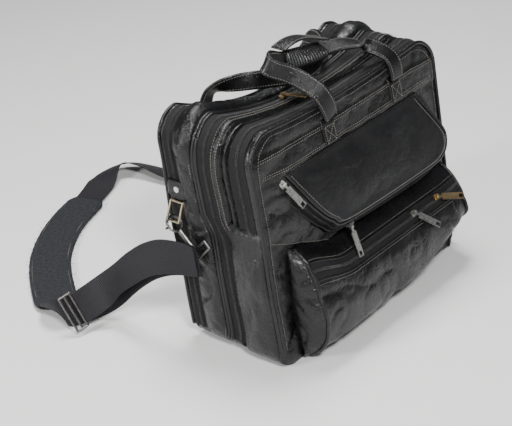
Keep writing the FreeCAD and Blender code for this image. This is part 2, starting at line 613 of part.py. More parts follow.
def zip_slider(name, place, travel, out, pull, droop):
    """A slider body with its cheeks and pin, and a windowed pull turned up by droop degrees.

    place is on the coil's crest, and the pull points along pull, square to out.
    """
    travel, out, pull = unit(travel), unit(out), unit(pull)
    pin_dir = unit(pull.cross(out))
    across = unit(out.cross(travel))

    def block(centre, sizes, axes):
        corners = []
        for a, b in ((-1, -1), (1, -1), (1, 1), (-1, 1)):
            corners.append(centre + axes[0] * (a * sizes[0] / 2) + axes[1] * (b * sizes[1] / 2)
                           - axes[2] * (sizes[2] / 2))
        return prism(corners, axes[2] * sizes[2])
    low = place + out * COIL_GAP
    body = block(low + out * (SLIDER_DEEP / 2), (SLIDER_LONG, SLIDER_WIDE, SLIDER_DEEP),
                 (travel, across, out))
    pin = low + out * (SLIDER_DEEP + PIN_HEIGHT)
    for sign in (-1, 1):
        cheek = block(pin + pin_dir * (sign * 3.1) - out * (PIN_HEIGHT / 2 - 0.6),
                      (1.4, 3.6, PIN_HEIGHT + 2.4), (pin_dir, pull, out))
        body = body.fuse(cheek)
    body = body.fuse(rod(pin - pin_dir * 3.1, pin + pin_dir * 3.1, PIN_R))
    export(name + "_slider", body)
    spin = FreeCAD.Rotation(pin_dir, droop)
    tip = spin.multVec(pull)
    face = spin.multVec(out)
    knuckle = rod(pin - pin_dir * 2.2, pin + pin_dir * 2.2, KNUCKLE_R)
    neck = block(pin + tip * 4.0, (8.0, 4.0, PULL_THICK), (tip, pin_dir, face))
    plate = block(pin + tip * (7.5 + PULL_LONG / 2), (PULL_LONG, PULL_WIDE, PULL_THICK),
                  (tip, pin_dir, face))
    window = block(pin + tip * (3.0 + PULL_LONG), (7.0, PULL_WIDE - 4.0, 6.0),
                   (tip, pin_dir, face))
    bore = rod(pin - pin_dir * 8.0, pin + pin_dir * 8.0, KNUCKLE_BORE)
    export(name + "_pull", knuckle.fuse(neck).fuse(plate).cut(window).cut(bore))
    tell("pivot", name + "_pull", pin, pin_dir)
    tell("travel", name + "_slider", place, travel)


def organizer_seat(edge, along, f):
    """A place on the organizer's gusset, with the zip's direction and the outward normal."""
    outline = offset_outline(organizer_mix(f), CLEAR + SKIN + 1.0, 0.0)
    (xa, za), (xb, zb) = outline[edge], outline[edge + 1]
    a, b = organizer_point(xa, za, f), organizer_point(xb, zb, f)
    deeper = offset_outline(organizer_mix(f + 0.1), CLEAR + SKIN + 1.0, 0.0)
    c = organizer_point(deeper[edge][0], deeper[edge][1], f + 0.1)
    travel = unit(b - a)
    return a + (b - a) * along, travel, unit(travel.cross(c - a))


def sliders():
    top_slope = V(-1.0, 0.0, 0.06)
    y = lean(MAIN_ZIP_Y, 322.0)
    zip_slider("main_zip", V(-44.0, y, 326.4), top_slope, V(0.06, 0, 1), V(0, -1, 0), 8.0)
    rise = V(0, LEAN, 1)
    end = LENGTH / 2 + SKIN + 1.0
    for name, base in (("rear_zip", REAR_ZIP_Y), ("front_zip", FRONT_ZIP_Y)):
        zip_slider(name, V(end, lean(base, 60.0), 60.0), rise, V(1, 0, 0), rise * -1, 6.0)
    seat = organizer_seat(0, 0.30, 0.57)
    zip_slider("organizer_side", seat[0], seat[1], seat[2], seat[1], 5.0)
    seat = organizer_seat(4, 0.04, 0.57)
    zip_slider("organizer_low", seat[0], seat[1], seat[2], seat[1].cross(seat[2]), 66.0)
    middle = V(0, POCKET_ZIP_Y, POCKET_ZIP_Z) + POCKET_DOWN * (sum(POCKET_COIL) / 2)
    crest = middle + POCKET_OUT * (SKIN + 1.0)
    zip_slider("pocket_left", crest + V(72, 0, 0), V(1, 0, 0), POCKET_OUT,
               POCKET_DOWN * 0.8 + V(0.6, 0, 0), 8.0)
    zip_slider("pocket_right", crest + V(132, 0, 0), V(1, 0, 0), POCKET_OUT,
               V(0.9, 0, 0) + POCKET_DOWN * 0.44, 12.0)


def main():
    os.makedirs("parts", exist_ok=True)
    rear_section()
    back_flap()
    front_section()
    organizer()
    lower_pocket()
    end_fittings()
    shoulder_strap()
    handles()
    sliders()


main()
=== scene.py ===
import math
import bpy
import numpy as np
from mathutils import Matrix, Vector, noise


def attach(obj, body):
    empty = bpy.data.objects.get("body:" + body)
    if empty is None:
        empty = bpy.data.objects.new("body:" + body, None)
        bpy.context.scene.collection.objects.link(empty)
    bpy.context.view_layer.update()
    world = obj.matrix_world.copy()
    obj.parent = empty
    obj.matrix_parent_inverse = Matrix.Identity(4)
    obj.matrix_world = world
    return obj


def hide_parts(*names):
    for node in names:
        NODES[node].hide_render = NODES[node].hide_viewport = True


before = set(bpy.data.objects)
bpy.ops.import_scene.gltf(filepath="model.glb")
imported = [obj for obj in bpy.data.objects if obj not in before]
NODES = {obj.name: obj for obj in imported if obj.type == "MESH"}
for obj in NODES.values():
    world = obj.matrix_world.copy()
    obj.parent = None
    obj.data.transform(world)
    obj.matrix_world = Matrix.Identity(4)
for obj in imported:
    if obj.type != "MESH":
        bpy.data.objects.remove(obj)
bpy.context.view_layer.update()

# ---- sizes shared with the CAD, in metres ----------------------------------------------------------
LENGTH, HEIGHT, LEAN = 0.430, 0.345, 0.118
CORNER_R, BASE_R = 0.042, 0.026
SAG_FRONT, SAG_BACK = 0.005, 0.044
FRONT_Y, FRONT_ZIP_Y, FRONT_DIVIDER_Y = -0.092, -0.068, -0.032
MAIN_ZIP_Y, DIVIDER_Y, REAR_ZIP_Y, BACK_Y = -0.012, 0.006, 0.058, 0.078
ZIP_END = 0.020
COVER_TOP = 0.212
CREST = Vector((0.0, 0.0, 0.17))


# ---- camera ---------------------------------------------------------------------------------------
def add_camera():
    camera = bpy.data.objects.new("camera", bpy.data.cameras.new("camera"))
    bpy.context.scene.collection.objects.link(camera)
    place, aim = Vector((-1.427, -1.153, 1.142)), Vector((-0.073, 0.069, 0.140))
    back = (place - aim).normalized()
    right = Vector((0.60857, -0.79216, -0.04619))
    right = (right - back * right.dot(back)).normalized()
    up = back.cross(right)
    turn = Matrix((right, up, back)).transposed().to_4x4()
    camera.matrix_world = Matrix.Translation(place) @ turn
    camera.data.lens, camera.data.sensor_width = 98.4, 36.0
    camera.data.dof.use_dof = False
    bpy.context.scene.camera = camera


add_camera()


# ---- materials ------------------------------------------------------------------------------------
class Mat:
    """A node material with short calls for the few nodes the finishes need."""

    def __init__(self, name, colour, rough, metallic=0.0):
        self.mat = bpy.data.materials.new(name)
        self.mat.use_nodes = True
        self.tree = self.mat.node_tree
        self.shader = self.tree.nodes["Principled BSDF"]
        self.shader.inputs["Base Color"].default_value = (*colour, 1.0)
        self.shader.inputs["Roughness"].default_value = rough
        self.shader.inputs["Metallic"].default_value = metallic
        self.place = self.tree.nodes.new("ShaderNodeTexCoord").outputs["Object"]

    def node(self, kind, **values):
        node = self.tree.nodes.new(kind)
        for key, value in values.items():
            setattr(node, key, value)
        return node

    def link(self, a, b):
        self.tree.links.new(a, b)

    def noise(self, scale, detail=3.0, rough=0.55):
        node = self.node("ShaderNodeTexNoise")
        node.inputs["Scale"].default_value = scale
        node.inputs["Detail"].default_value = detail
        node.inputs["Roughness"].default_value = rough
        self.link(self.place, node.inputs["Vector"])
        return node.outputs["Fac"]

    def cells(self, scale, feature="DISTANCE_TO_EDGE"):
        node = self.node("ShaderNodeTexVoronoi", feature=feature)
        node.inputs["Scale"].default_value = scale
        self.link(self.place, node.inputs["Vector"])
        return node.outputs["Distance"]

    def ramp(self, value, low, high, to_low=0.0, to_high=1.0):
        node = self.node("ShaderNodeMapRange", interpolation_type="SMOOTHSTEP")
        for key, number in (("From Min", low), ("From Max", high), ("To Min", to_low),
                            ("To Max", to_high)):
            node.inputs[key].default_value = number
        self.link(value, node.inputs["Value"])
        return node.outputs["Result"]

    def colours(self, value, stops):
        node = self.node("ShaderNodeValToRGB")
        ramp = node.color_ramp
        ramp.elements[0].position, ramp.elements[1].position = stops[0][0], stops[-1][0]
        ramp.elements[0].color, ramp.elements[1].color = (*stops[0][1], 1), (*stops[-1][1], 1)
        for place, colour in stops[1:-1]:
            ramp.elements.new(place).color = (*colour, 1)
        self.link(value, node.inputs["Fac"])
        self.link(node.outputs["Color"], self.shader.inputs["Base Color"])

    def roughness(self, value):
        self.link(value, self.shader.inputs["Roughness"])

    def bump(self, layers):
        """layers are (height, strength, distance in metres), the coarse ones first."""
        normal = None
        for height, strength, distance in layers:
            node = self.node("ShaderNodeBump")
            node.inputs["Strength"].default_value = strength
            node.inputs["Distance"].default_value = distance
            self.link(height, node.inputs["Height"])
            if normal:
                self.link(normal, node.inputs["Normal"])
            normal = node.outputs["Normal"]
        self.link(normal, self.shader.inputs["Normal"])
        return self


def leather(name, dark, worn, rough, wear_low=0.56, wear_high=0.80, crease=0.0022):
    mat = Mat(name, dark, rough)
    patches = mat.noise(9.0, 5.0, 0.65)
    mat.colours(mat.ramp(patches, wear_low, wear_high), [(0.0, dark), (1.0, worn)])
    mat.roughness(mat.ramp(mat.noise(26.0, 4.0, 0.6), 0.3, 0.75, rough - 0.07, rough + 0.16))
    mat.shader.inputs["Specular IOR Level"].default_value = 0.42
    mat.bump([(mat.noise(15.0, 2.0, 0.5), 0.90, crease * 3.2),
              (mat.ramp(mat.cells(85.0), 0.0, 0.22), 0.30, crease * 0.35),
              (mat.ramp(mat.cells(520.0), 0.0, 0.16), 0.30, 0.0005)])
    return mat.mat


def metal(name, colour, rough):
    mat = Mat(name, colour, rough, 1.0)
    mat.roughness(mat.ramp(mat.noise(240.0, 5.0, 0.7), 0.35, 0.75, rough, rough + 0.22))
    dull = tuple(c * 0.62 for c in colour)
    mat.colours(mat.noise(120.0, 4.0, 0.6), [(0.42, colour), (0.72, dull)])
    mat.bump([(mat.noise(900.0, 2.0, 0.6), 0.15, 0.0003)])
    return mat.mat


def cloth(name, colour, light, scale, rough=0.85, depth=0.0006):
    mat = Mat(name, colour, rough)
    mat.colours(mat.noise(scale * 0.22, 4.0, 0.7), [(0.36, colour), (0.74, light)])
    mat.shader.inputs["Specular IOR Level"].default_value = 0.25
    mat.bump([(mat.noise(scale * 0.05, 3.0, 0.6), 0.3, 0.0012),
              (mat.cells(scale, "F1"), 0.5, depth)])
    return mat.mat


def webbing_material():
    """Near-black nylon with ribs across the strap, from the mesh's own strap coordinates."""
    mat = Mat("webbing", (0.022, 0.019, 0.026), 0.62)
    uv = mat.node("ShaderNodeUVMap", uv_map="strap")
    split = mat.node("ShaderNodeSeparateXYZ")
    mat.link(uv.outputs["UV"], split.inputs["Vector"])
    ribs = wave(mat, split.outputs["Y"], 2 * math.pi / 0.0024)
    picks = wave(mat, split.outputs["X"], 2 * math.pi * 24)
    # The colour follows the rib wave: painted shade in the grooves between the ribs, lighter on the crests,
    # over the near-black nylon.
    mat.colours(mat.ramp(ribs, -1.0, 1.0), [(0.0, (0.005, 0.0045, 0.0055)),
                                           (1.0, (0.020, 0.018, 0.022))])
    mat.shader.inputs["Specular IOR Level"].default_value = 0.25
    mat.bump([(ribs, 0.45, 0.0007), (picks, 0.30, 0.0004)])
    return mat.mat


def wave(mat, value, factor):
    times = mat.node("ShaderNodeMath", operation="MULTIPLY")
    mat.link(value, times.inputs[0])
    times.inputs[1].default_value = factor
    sine = mat.node("ShaderNodeMath", operation="SINE")
    mat.link(times.outputs[0], sine.inputs[0])
    return sine.outputs[0]


LEATHER = leather("leather", (0.0040, 0.0040, 0.0044), (0.012, 0.012, 0.013), 0.24)
FLAP_LEATHER = leather("flap leather", (0.0055, 0.0055, 0.0060), (0.022, 0.022, 0.024), 0.36, 0.50,
                       0.80, 0.0012)
TRIM_LEATHER = leather("trim leather", (0.0042, 0.0042, 0.0046), (0.014, 0.014, 0.015), 0.27, 0.55,
                       0.85, 0.0008)
GRIP_LEATHER = leather("grip leather", (0.0070, 0.0070, 0.0074), (0.024, 0.023, 0.025), 0.31, 0.5,
                       0.8, 0.0008)
TAPE = cloth("zip tape", (0.0060, 0.0058, 0.0058), (0.017, 0.016, 0.016), 1500.0)
LINING = cloth("lining", (0.022, 0.022, 0.025), (0.045, 0.045, 0.05), 1100.0)
BOARD = cloth("board", (0.03, 0.03, 0.03), (0.05, 0.05, 0.05), 700.0)
THREAD = cloth("thread", (0.120, 0.112, 0.100), (0.210, 0.196, 0.178), 2500.0, 0.60)
SUEDE = cloth("suede", (0.012, 0.013, 0.015), (0.030, 0.031, 0.035), 900.0, 0.95, 0.0009)
TEETH = metal("teeth", (0.10, 0.10, 0.105), 0.38)
SILVER = metal("silver metal", (0.62, 0.61, 0.58), 0.24)
GOLD = metal("gold metal", (0.44, 0.33, 0.18), 0.30)
DULL = metal("dull metal", (0.17, 0.165, 0.16), 0.28)
BRASSY = metal("worn brass", (0.44, 0.37, 0.25), 0.30)
WEBBING = webbing_material()


# ---- meshes ---------------------------------------------------------------------------------------
def piece(name, verts, faces, mats, body, nodes=(), indices=None):
    mesh = bpy.data.meshes.new(name)
    mesh.from_pydata([tuple(v) for v in verts], [], faces)
    for mat in mats if isinstance(mats, (list, tuple)) else [mats]:
        mesh.materials.append(mat)
    if indices is not None:
        mesh.polygons.foreach_set("material_index", indices)
    mesh.polygons.foreach_set("use_smooth", [True] * len(mesh.polygons))
    mesh.validate()
    obj = bpy.data.objects.new(name, mesh)
    bpy.context.scene.collection.objects.link(obj)
    if body:
        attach(obj, body)
    if nodes:
        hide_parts(*nodes)
    return obj


def grid_faces(rows, columns, closed, flip=False, start=0):
    faces = []
    for j in range(rows - 1):
        for i in range(columns if closed else columns - 1):
            a, b = j * columns + i, j * columns + (i + 1) % columns
            quad = [start + a, start + b, start + b + columns, start + a + columns]
            faces.append(quad[::-1] if flip else quad)
    return faces


def shell(name, outer, inner, closed, mats, body, nodes=(), flip=False):
    """A sheet with thickness: two grids of points, rows by columns, joined round their rims."""
    outer, inner = np.asarray(outer, float), np.asarray(inner, float)
    rows, columns = outer.shape[:2]
    count = rows * columns
    verts = np.vstack([outer.reshape(-1, 3), inner.reshape(-1, 3)])
    faces = grid_faces(rows, columns, closed, flip)
    front = len(faces)
    faces += grid_faces(rows, columns, closed, not flip, count)
    back = len(faces)
    for j in (0, rows - 1):
        for i in range(columns if closed else columns - 1):
            a, b = j * columns + i, j * columns + (i + 1) % columns
            quad = [a, a + count, b + count, b]
            faces.append(quad if (j == 0) != flip else quad[::-1])
    if not closed:
        for i in (0, columns - 1):
            for j in range(rows - 1):
                a, b = j * columns + i, (j + 1) * columns + i
                quad = [a, b, b + count, a + count]
                faces.append(quad if (i == 0) != flip else quad[::-1])
    indices = [0] * front + [1] * (back - front) + [0] * (len(faces) - back)
    return piece(name, verts, faces, mats, body, nodes, indices)


def resample(points, count, closed=False):
    points = np.asarray(points, float)
    if closed:
        points = np.vstack([points, points[:1]])
    steps = np.linalg.norm(np.diff(points, axis=0), axis=1)
    along = np.concatenate([[0], np.cumsum(steps)])
    want = np.linspace(0, along[-1], count + 1)[:-1] if closed else np.linspace(0, along[-1], count)
    return np.stack([np.interp(want, along, points[:, k]) for k in range(points.shape[1])], 1)


def smooth_through(points, count):
    """A smooth open line through the points, evenly spaced."""
    p = np.asarray(points, float)
    p = np.vstack([2 * p[0] - p[1], p, 2 * p[-1] - p[-2]])
    out = []
    for k in range(1, len(p) - 2):
        for t in np.linspace(0, 1, 24, endpoint=False):
            a, b, c, d = p[k - 1], p[k], p[k + 1], p[k + 2]
            out.append(0.5 * (2 * b + (c - a) * t + (2 * a - 5 * b + 4 * c - d) * t ** 2
                              + (3 * b - a - 3 * c + d) * t ** 3))
    out.append(p[-2])
    return resample(out, count)


def step(value, low, high):
    t = np.clip((value - low) / (high - low), 0, 1)
    return t * t * (3 - 2 * t)


def fold_noise(p, scale, seed=0.0):
    """Between 0 and 1, with narrow valleys like creases in soft leather."""
    v = noise.noise(Vector((p[0] * scale + seed, p[1] * scale * 1.1, p[2] * scale - seed)))
    return min(1.0, abs(v) * 3.2)


def wrinkle(p, amount, scale=16.0, seed=0.0):
    coarse = fold_noise(p, scale, seed) ** 0.6
    fine = fold_noise(p, scale * 2.7, seed + 5.0) ** 0.7
    return amount * (0.72 * coarse + 0.28 * fine - 0.6)


def tube(name, path, radius, mat, body, nodes=(), sides=10, closed=False):
    """A round tube along evenly spaced points."""
    path = np.asarray(path, float)
    ahead = np.roll(path, -1, 0) - np.roll(path, 1, 0)
    if not closed:
        ahead[0], ahead[-1] = path[1] - path[0], path[-1] - path[-2]
    ahead /= np.linalg.norm(ahead, axis=1)[:, None]
    side = np.cross(ahead, (0.03, 1.0, 0.02))
    side /= np.linalg.norm(side, axis=1)[:, None]
    up = np.cross(side, ahead)
    angles = np.linspace(0, 2 * math.pi, sides, endpoint=False)
    rings = np.stack([path + radius * (math.cos(a) * side + math.sin(a) * up) for a in angles], 1)
    faces = grid_faces(len(path), sides, True)
    if closed:
        last = (len(path) - 1) * sides
        faces += [[last + i, last + (i + 1) % sides, (i + 1) % sides, i] for i in range(sides)]
    else:
        faces += [list(range(sides))[::-1], list(range((len(path) - 1) * sides, len(path) * sides))]
    return piece(name, rings.reshape(-1, 3), faces, mat, body, nodes)


def bricks(name, places, axes, sizes, mat, body, nodes=()):
    """Many small rounded blocks in one mesh, such as zip teeth or stitches."""
    corner = [(-1, -1, -0.4), (1, -1, -0.4), (1, 1, -0.4), (-1, 1, -0.4),
              (-0.6, -0.6, 1), (0.6, -0.6, 1), (0.6, 0.6, 1), (-0.6, 0.6, 1)]
    sides = [(0, 1, 5, 4), (1, 2, 6, 5), (2, 3, 7, 6), (3, 0, 4, 7), (4, 5, 6, 7), (3, 2, 1, 0)]
    verts, faces = [], []
    for place, (u, v, w) in zip(places, axes):
        start = len(verts)
        for a, b, c in corner:
            verts.append(place + u * (a * sizes[0] / 2) + v * (b * sizes[1] / 2)
                         + w * (c * sizes[2] / 2))
        faces += [[start + k for k in side] for side in sides]
    return piece(name, verts, faces, mat, body, nodes)


def unit(v):
    v = np.asarray(v, float)
    return v / np.linalg.norm(v)


def stitches(name, path, outward, body, pitch=0.0042, lift=0.0005, size=0.0011):
    """A row of stitches along a line of points; outward is one normal or one for each point."""
    path = np.asarray(path, float)
    total = np.linalg.norm(np.diff(path, axis=0), axis=1).sum()
    count = max(3, int(total / pitch))
    line = resample(path, count + 1)
    normals = np.broadcast_to(np.asarray(outward, float), path.shape)
    normals = np.stack([np.interp(np.linspace(0, 1, count + 1), np.linspace(0, 1, len(path)),
                                  normals[:, k]) for k in range(3)], 1)
    places, axes = [], []
    for k in range(count):
        u = unit(line[k + 1] - line[k])
        w = normals[k] - u * normals[k].dot(u)
        w = unit(w)
        places.append((line[k] + line[k + 1]) / 2 + w * lift)
        axes.append((u, np.cross(w, u), w))
    return bricks(name, places, axes, (pitch * 0.66, size, size), THREAD, body, ())


# ---- the bag's outline ----------------------------------------------------------------------------
def sag_at(yb):
    return SAG_FRONT + (SAG_BACK - SAG_FRONT) * (yb - FRONT_Y) / (BACK_Y - FRONT_Y)


def outline(yb, count, arch=False, inset=0.0):
    """The bag's edge seen from the front, anticlockwise, as x, z and the outward normal.

    The closed line starts at the middle of the base; the arch runs from zip end to zip end.
    """
    half, top, low = LENGTH / 2 - inset, HEIGHT - inset, inset
    rt, rb = CORNER_R - inset, BASE_R
    pts = [(0.0, low)]
    pts += [(half - rb + rb * math.sin(a), low + rb - rb * math.cos(a))
            for a in np.linspace(0, math.pi / 2, 14)]
    pts += [(half - rt + rt * math.cos(a), top - rt + rt * math.sin(a))
            for a in np.linspace(0, math.pi / 2, 20)]
    for x in np.linspace(half - rt, -half + rt, 60)[1:-1]:
        pts.append((x, top - sag_at(yb) * (1 - (x / (half - rt)) ** 2)))
    pts += [(-half + rt - rt * math.sin(a), top - rt + rt * math.cos(a))
            for a in np.linspace(0, math.pi / 2, 20)]
    pts += [(-half + rb - rb * math.cos(a), low + rb - rb * math.sin(a))
            for a in np.linspace(0, math.pi / 2, 14)]
    if arch:
        dense = resample(pts, 900, True)
        keep = dense[:, 1] > ZIP_END
        ring = resample(dense[keep], count)
        ahead = np.gradient(ring, axis=0)
    else:
        ring = resample(pts, count, True)
        ahead = np.roll(ring, -1, 0) - np.roll(ring, 1, 0)
    ahead /= np.linalg.norm(ahead, axis=1)[:, None]
    return ring, np.stack([ahead[:, 1], -ahead[:, 0]], 1)


def kink(p):
    """How far the left end's seams swing back above the strap's ring, and forward below it."""
    yb = p[1] - LEAN * p[2]
    middle = step(yb, -0.085, -0.040) * (1 - step(yb, 0.022, 0.046))
    above = step(p[2], 0.178, 0.218)
    back = 0.0072 * above * (1 - step(p[2], 0.275, 0.335))
    forward = 0.0055 * (1 - above) * step(p[2], 0.004, 0.040)
    return (back - forward) * middle * step(-p[0], 0.120, 0.205)


def settle(p):
    """The small unevenness that the whole bag shares, so that its pieces stay together."""
    p = np.asarray(p, float)
    v = noise.noise_vector(Vector(p) * 7.5)
    high = step(p[2], 0.02, 0.12)
    calm = high * 0.0044 * (1 - 0.85 * step(p[0], 0.150, 0.205))
    return p + np.array((v.x * calm, v.y * calm + kink(p), v.z * calm))


def on_bag(yb, x, z, normal=(0, 0), height=0.0):
    return settle((x + normal[0] * height, yb + LEAN * z, max(0.0004, z + normal[1] * height)))


def strip(name, y0, y1, rows, height, mat, body, nodes=(), arch=False, thick=0.003,
          count=420):
    """A band round the bag between two sections; height(t, x, z, y) raises its surface."""
    outer, inner = [], []
    for t in np.linspace(0, 1, rows):
        yb = y0 + (y1 - y0) * t
        ring, normals = outline(yb, count, arch)
        line_out, line_in = [], []
        for (x, z), n in zip(ring, normals):
            h = height(t, x, z, yb + LEAN * z)
            line_out.append(on_bag(yb, x, z, n, h))
            line_in.append(on_bag(yb, x, z, n, min(h - 0.0012, 0.0) - thick))
        outer.append(line_out)
        inner.append(line_in)
    return shell(name, outer, inner, not arch, [mat, LINING], body, nodes)


def arch_line(yb, height, count=700):
    ring, normals = outline(yb, count, True)
    points = [on_bag(yb, x, z, n, height) for (x, z), n in zip(ring, normals)]
    return np.array(points), np.array([(n[0], 0.0, n[1]) for n in normals])


def ring_tube(name, yb, radius, height, body, nodes=()):
    """Piping round the bag, over the ends and the top."""
    points, _ = arch_line(yb, height, 520)
    return tube(name, points, radius, TRIM_LEATHER, body, nodes)


def teeth(name, path, normals, across, body, side, pitch=0.0028):
    """One half of a zip's coil along a line; side is which way it stands from the zip line."""
    path = np.asarray(path, float)
    total = np.linalg.norm(np.diff(path, axis=0), axis=1).sum()
    count = int(total / pitch)
    line = resample(path, count)
    index = np.linspace(0, 1, len(path))
    want = np.linspace(0, 1, count)
    normal = np.stack([np.interp(want, index, normals[:, k]) for k in range(3)], 1)
    cross = np.stack([np.interp(want, index, across[:, k]) for k in range(3)], 1)
    places, axes = [], []
    ahead = np.gradient(line, axis=0)
    for k in range(count):
        u, w = unit(ahead[k]), unit(normal[k])
        v = unit(cross[k])
        shift = 0.25 * pitch * side
        places.append(line[k] + u * shift + v * side * 0.0012)
        axes.append((u, v, w))
    return bricks(name, places, axes, (pitch * 0.45, 0.0030, 0.0020), TEETH, body, ())


def zip_line(name, zip_y, low_body, high_body):
    """Both halves of a zip's teeth round the bag; low_body holds the half nearer the front."""
    points, normals = arch_line(zip_y, 0.0016)
    across = np.tile((0.0, 1.0, 0.0), (len(points), 1))
    teeth(name + "_teeth_front", points, normals, across, low_body, -1)
    teeth(name + "_teeth_rear", points, normals, across, high_body, 1)


# ---- bands round the bag --------------------------------------------------------------------------
def puff(amount, folds, scale=15.0, seed=0.0, power=0.6):
    """A band that swells between its two seams, with creases."""
    def height(t, x, z, y):
        swell = (4 * t * (1 - t)) ** power
        soft_top = 1.0 + 0.35 * step(z, 0.24, 0.34)
        lift = amount * swell * step(z, 0.0, 0.05) * soft_top
        joins = 0.0022 * math.exp(-((z - 0.190) / 0.0030) ** 2) * step(abs(x), 0.19, 0.21)
        return lift - joins * swell + swell * wrinkle((x, y, z), folds, scale, seed) * step(z, 0.004, 0.03)
    return height


def bellows(t, x, z, y):
    """Two folds inwards, deep at the ends and the top."""
    dip = 0.5 - 0.5 * math.cos(4 * math.pi * t)
    return -0.0075 * dip * step(z, 0.006, 0.05) + wrinkle((x, y, z), 0.0012, 26.0, 2.0)


def raised_tape(t, x, z, y):
    """Zip tape: its outer edge tucks under the leather, and the inner one stands up."""
    return 0.0006 + 0.0006 * math.cos(math.pi * t) ** 2


def build_bands():
    strip("front_gusset", FRONT_Y + 0.0028, -0.0795, 8, puff(0.0010, 0.0012, 22.0), LEATHER,
          "front_half", ["front_end_gussets", "front_top_gusset", "front_base"])
    strip("front_zip_tape_a", -0.0800, FRONT_ZIP_Y - 0.0002, 6, raised_tape, TAPE, "front_half",
          ["front_zip_tapes"], True, 0.002)
    strip("front_zip_tape_b", FRONT_ZIP_Y + 0.0002, -0.0555, 6, raised_tape, TAPE, "front_half",
          (), True, 0.002)
    strip("bellows", -0.0560, -0.0365, 13, bellows, LEATHER, "front_half")
    strip("stitched_strip", -0.0370, -0.0232, 8, puff(0.0016, 0.0014, 24.0, 3.0), LEATHER,
          "front_half")
    strip("main_zip_tape_a", -0.0236, MAIN_ZIP_Y - 0.0003, 6, raised_tape, TAPE, "front_half",
          ["main_zip_tape_front"], True, 0.002)
    strip("main_zip_tape_b", MAIN_ZIP_Y + 0.0003, 0.0006, 6, raised_tape, TAPE, "rear_section",
          ["main_zip_tape_rear"], True, 0.002)
    strip("base_rear", MAIN_ZIP_Y + 0.0004, 0.012, 6, low_only, LEATHER, "rear_section")
    strip("rear_gusset", 0.0110, 0.0478, 22, puff(0.0076, 0.0066, 14.0, 1.0, 0.5), LEATHER,
          "rear_section", ["rear_end_gussets", "rear_top_gusset", "rear_base"])
    strip("rear_zip_tape_a", 0.0474, REAR_ZIP_Y - 0.0003, 6, raised_tape, TAPE, "rear_section",
          ["rear_zip_tape_inner"], True, 0.002)
    strip("rear_zip_tape_b", REAR_ZIP_Y + 0.0003, 0.0690, 6, raised_tape, TAPE, "back_flap",
          ["rear_zip_tape_outer"], True, 0.002)
    strip("base_back", 0.0472, REAR_ZIP_Y + 0.0120, 6, low_only, LEATHER, "rear_section")
    strip("back_gusset", 0.0688, 0.0755, 5, puff(0.0010, 0.0010, 22.0), LEATHER, "back_flap",
          (), True)
    ring_tube("front_piping_tube", FRONT_Y + 0.0018, 0.0031, 0.0008, "front_half",
              ["front_piping"])
    ring_tube("double_piping_a", 0.0032, 0.0030, 0.0008, "rear_section", ["double_piping"])
    ring_tube("double_piping_b", 0.0090, 0.0030, 0.0008, "rear_section")
    ring_tube("back_piping_tube", BACK_Y - 0.0020, 0.0030, 0.0008, "back_flap", ["back_piping"])
    zip_line("front_zip", FRONT_ZIP_Y, "front_half", "front_half")
    zip_line("main_zip", MAIN_ZIP_Y, "front_half", "rear_section")
    zip_line("rear_zip", REAR_ZIP_Y, "rear_section", "back_flap")
    for name, yb, body in (("strip_stitch_a", -0.0345, "front_half"),
                           ("strip_stitch_b", -0.0262, "front_half"),
                           ("gusset_stitch_a", 0.0142, "rear_section"),
                           ("gusset_stitch_b", 0.0448, "rear_section")):
        points, normals = arch_line(yb, 0.0022 if body == "front_half" else 0.0036)
        stitches(name, points, normals, body)


def build_end_cover():
    """The plain gusset below the place where the front zip stops on the left end."""
    outer, inner = [], []
    for t in np.linspace(0, 1, 34):
        yb = -0.0886 + (-0.0240 + 0.0886) * t
        ring, normals = outline(yb, 1400)
        keep = (ring[:, 0] < -0.180) & (ring[:, 1] < COVER_TOP)
        places = resample(np.hstack([ring[keep], normals[keep]]), 130)
        row_out, row_in = [], []
        for x, z, nx, nz in places:
            swell = (4 * t * (1 - t)) ** 0.45
            top = 1 - step(z, COVER_TOP - 0.060, COVER_TOP)
            rim = step(z, COVER_TOP - 0.006, COVER_TOP)
            seam = math.exp(-((z - 0.182) / 0.0022) ** 2)
            lift = 0.0030 - 0.0042 * rim + 0.0072 * swell * step(z, 0.0, 0.05) * top
            lift -= 0.0026 * seam * swell
            lift += wrinkle((x, yb, z), 0.0105, 11.0, 21.0) * swell * (0.35 + 0.65 * top) * step(z, 0.004, 0.04)
            row_out.append(on_bag(yb, x, z, (nx, nz), lift * step(z, 0.0, 0.012)))
            row_in.append(on_bag(yb, x, z, (nx, nz), -0.0020))
        outer.append(row_out)
        inner.append(row_in)
    shell("left_end_cover", outer, inner, False, [LEATHER, LINING], "front_half")


def low_only(t, x, z, y):
    """The leather under the zip tape, which shows below where the zip stops."""
    return -0.0012 * step(z, 0.014, 0.022)


# ---- front and back panels ------------------------------------------------------------------------
def edge_round(reach, drop):
    """The panel's rim falls back by drop over the last stretch."""
    return -drop * (1 - math.sqrt(max(0.0, 1 - (1 - min(reach, 1.0)) ** 2)))


def panel(name, yb, sign, relief, body, nodes, rings=64, count=420, thick=0.003):
    """A whole face of the bag. sign is -1 for the front; relief(x, z, k) pushes it outwards."""
    ring, _ = outline(yb, count)
    outer, inner = [], []
    for j in range(rings):
        k = (j / (rings - 1)) ** 1.15
        scale = 1 - k * 0.9995
        xs, zs = ring[:, 0] * scale, CREST.z + (ring[:, 1] - CREST.z) * scale
        row_out, row_in = [], []
        for x, z in zip(xs, zs):
            push = relief(x, z, k)
            row_out.append(on_bag(yb, x, z) + (0, sign * push, 0))
            row_in.append(on_bag(yb, x, z) + (0, -sign * thick, 0))
        outer.append(row_out)
        inner.append(row_in)
    return shell(name, outer, inner, True, [LEATHER, LINING], body, nodes, sign > 0)


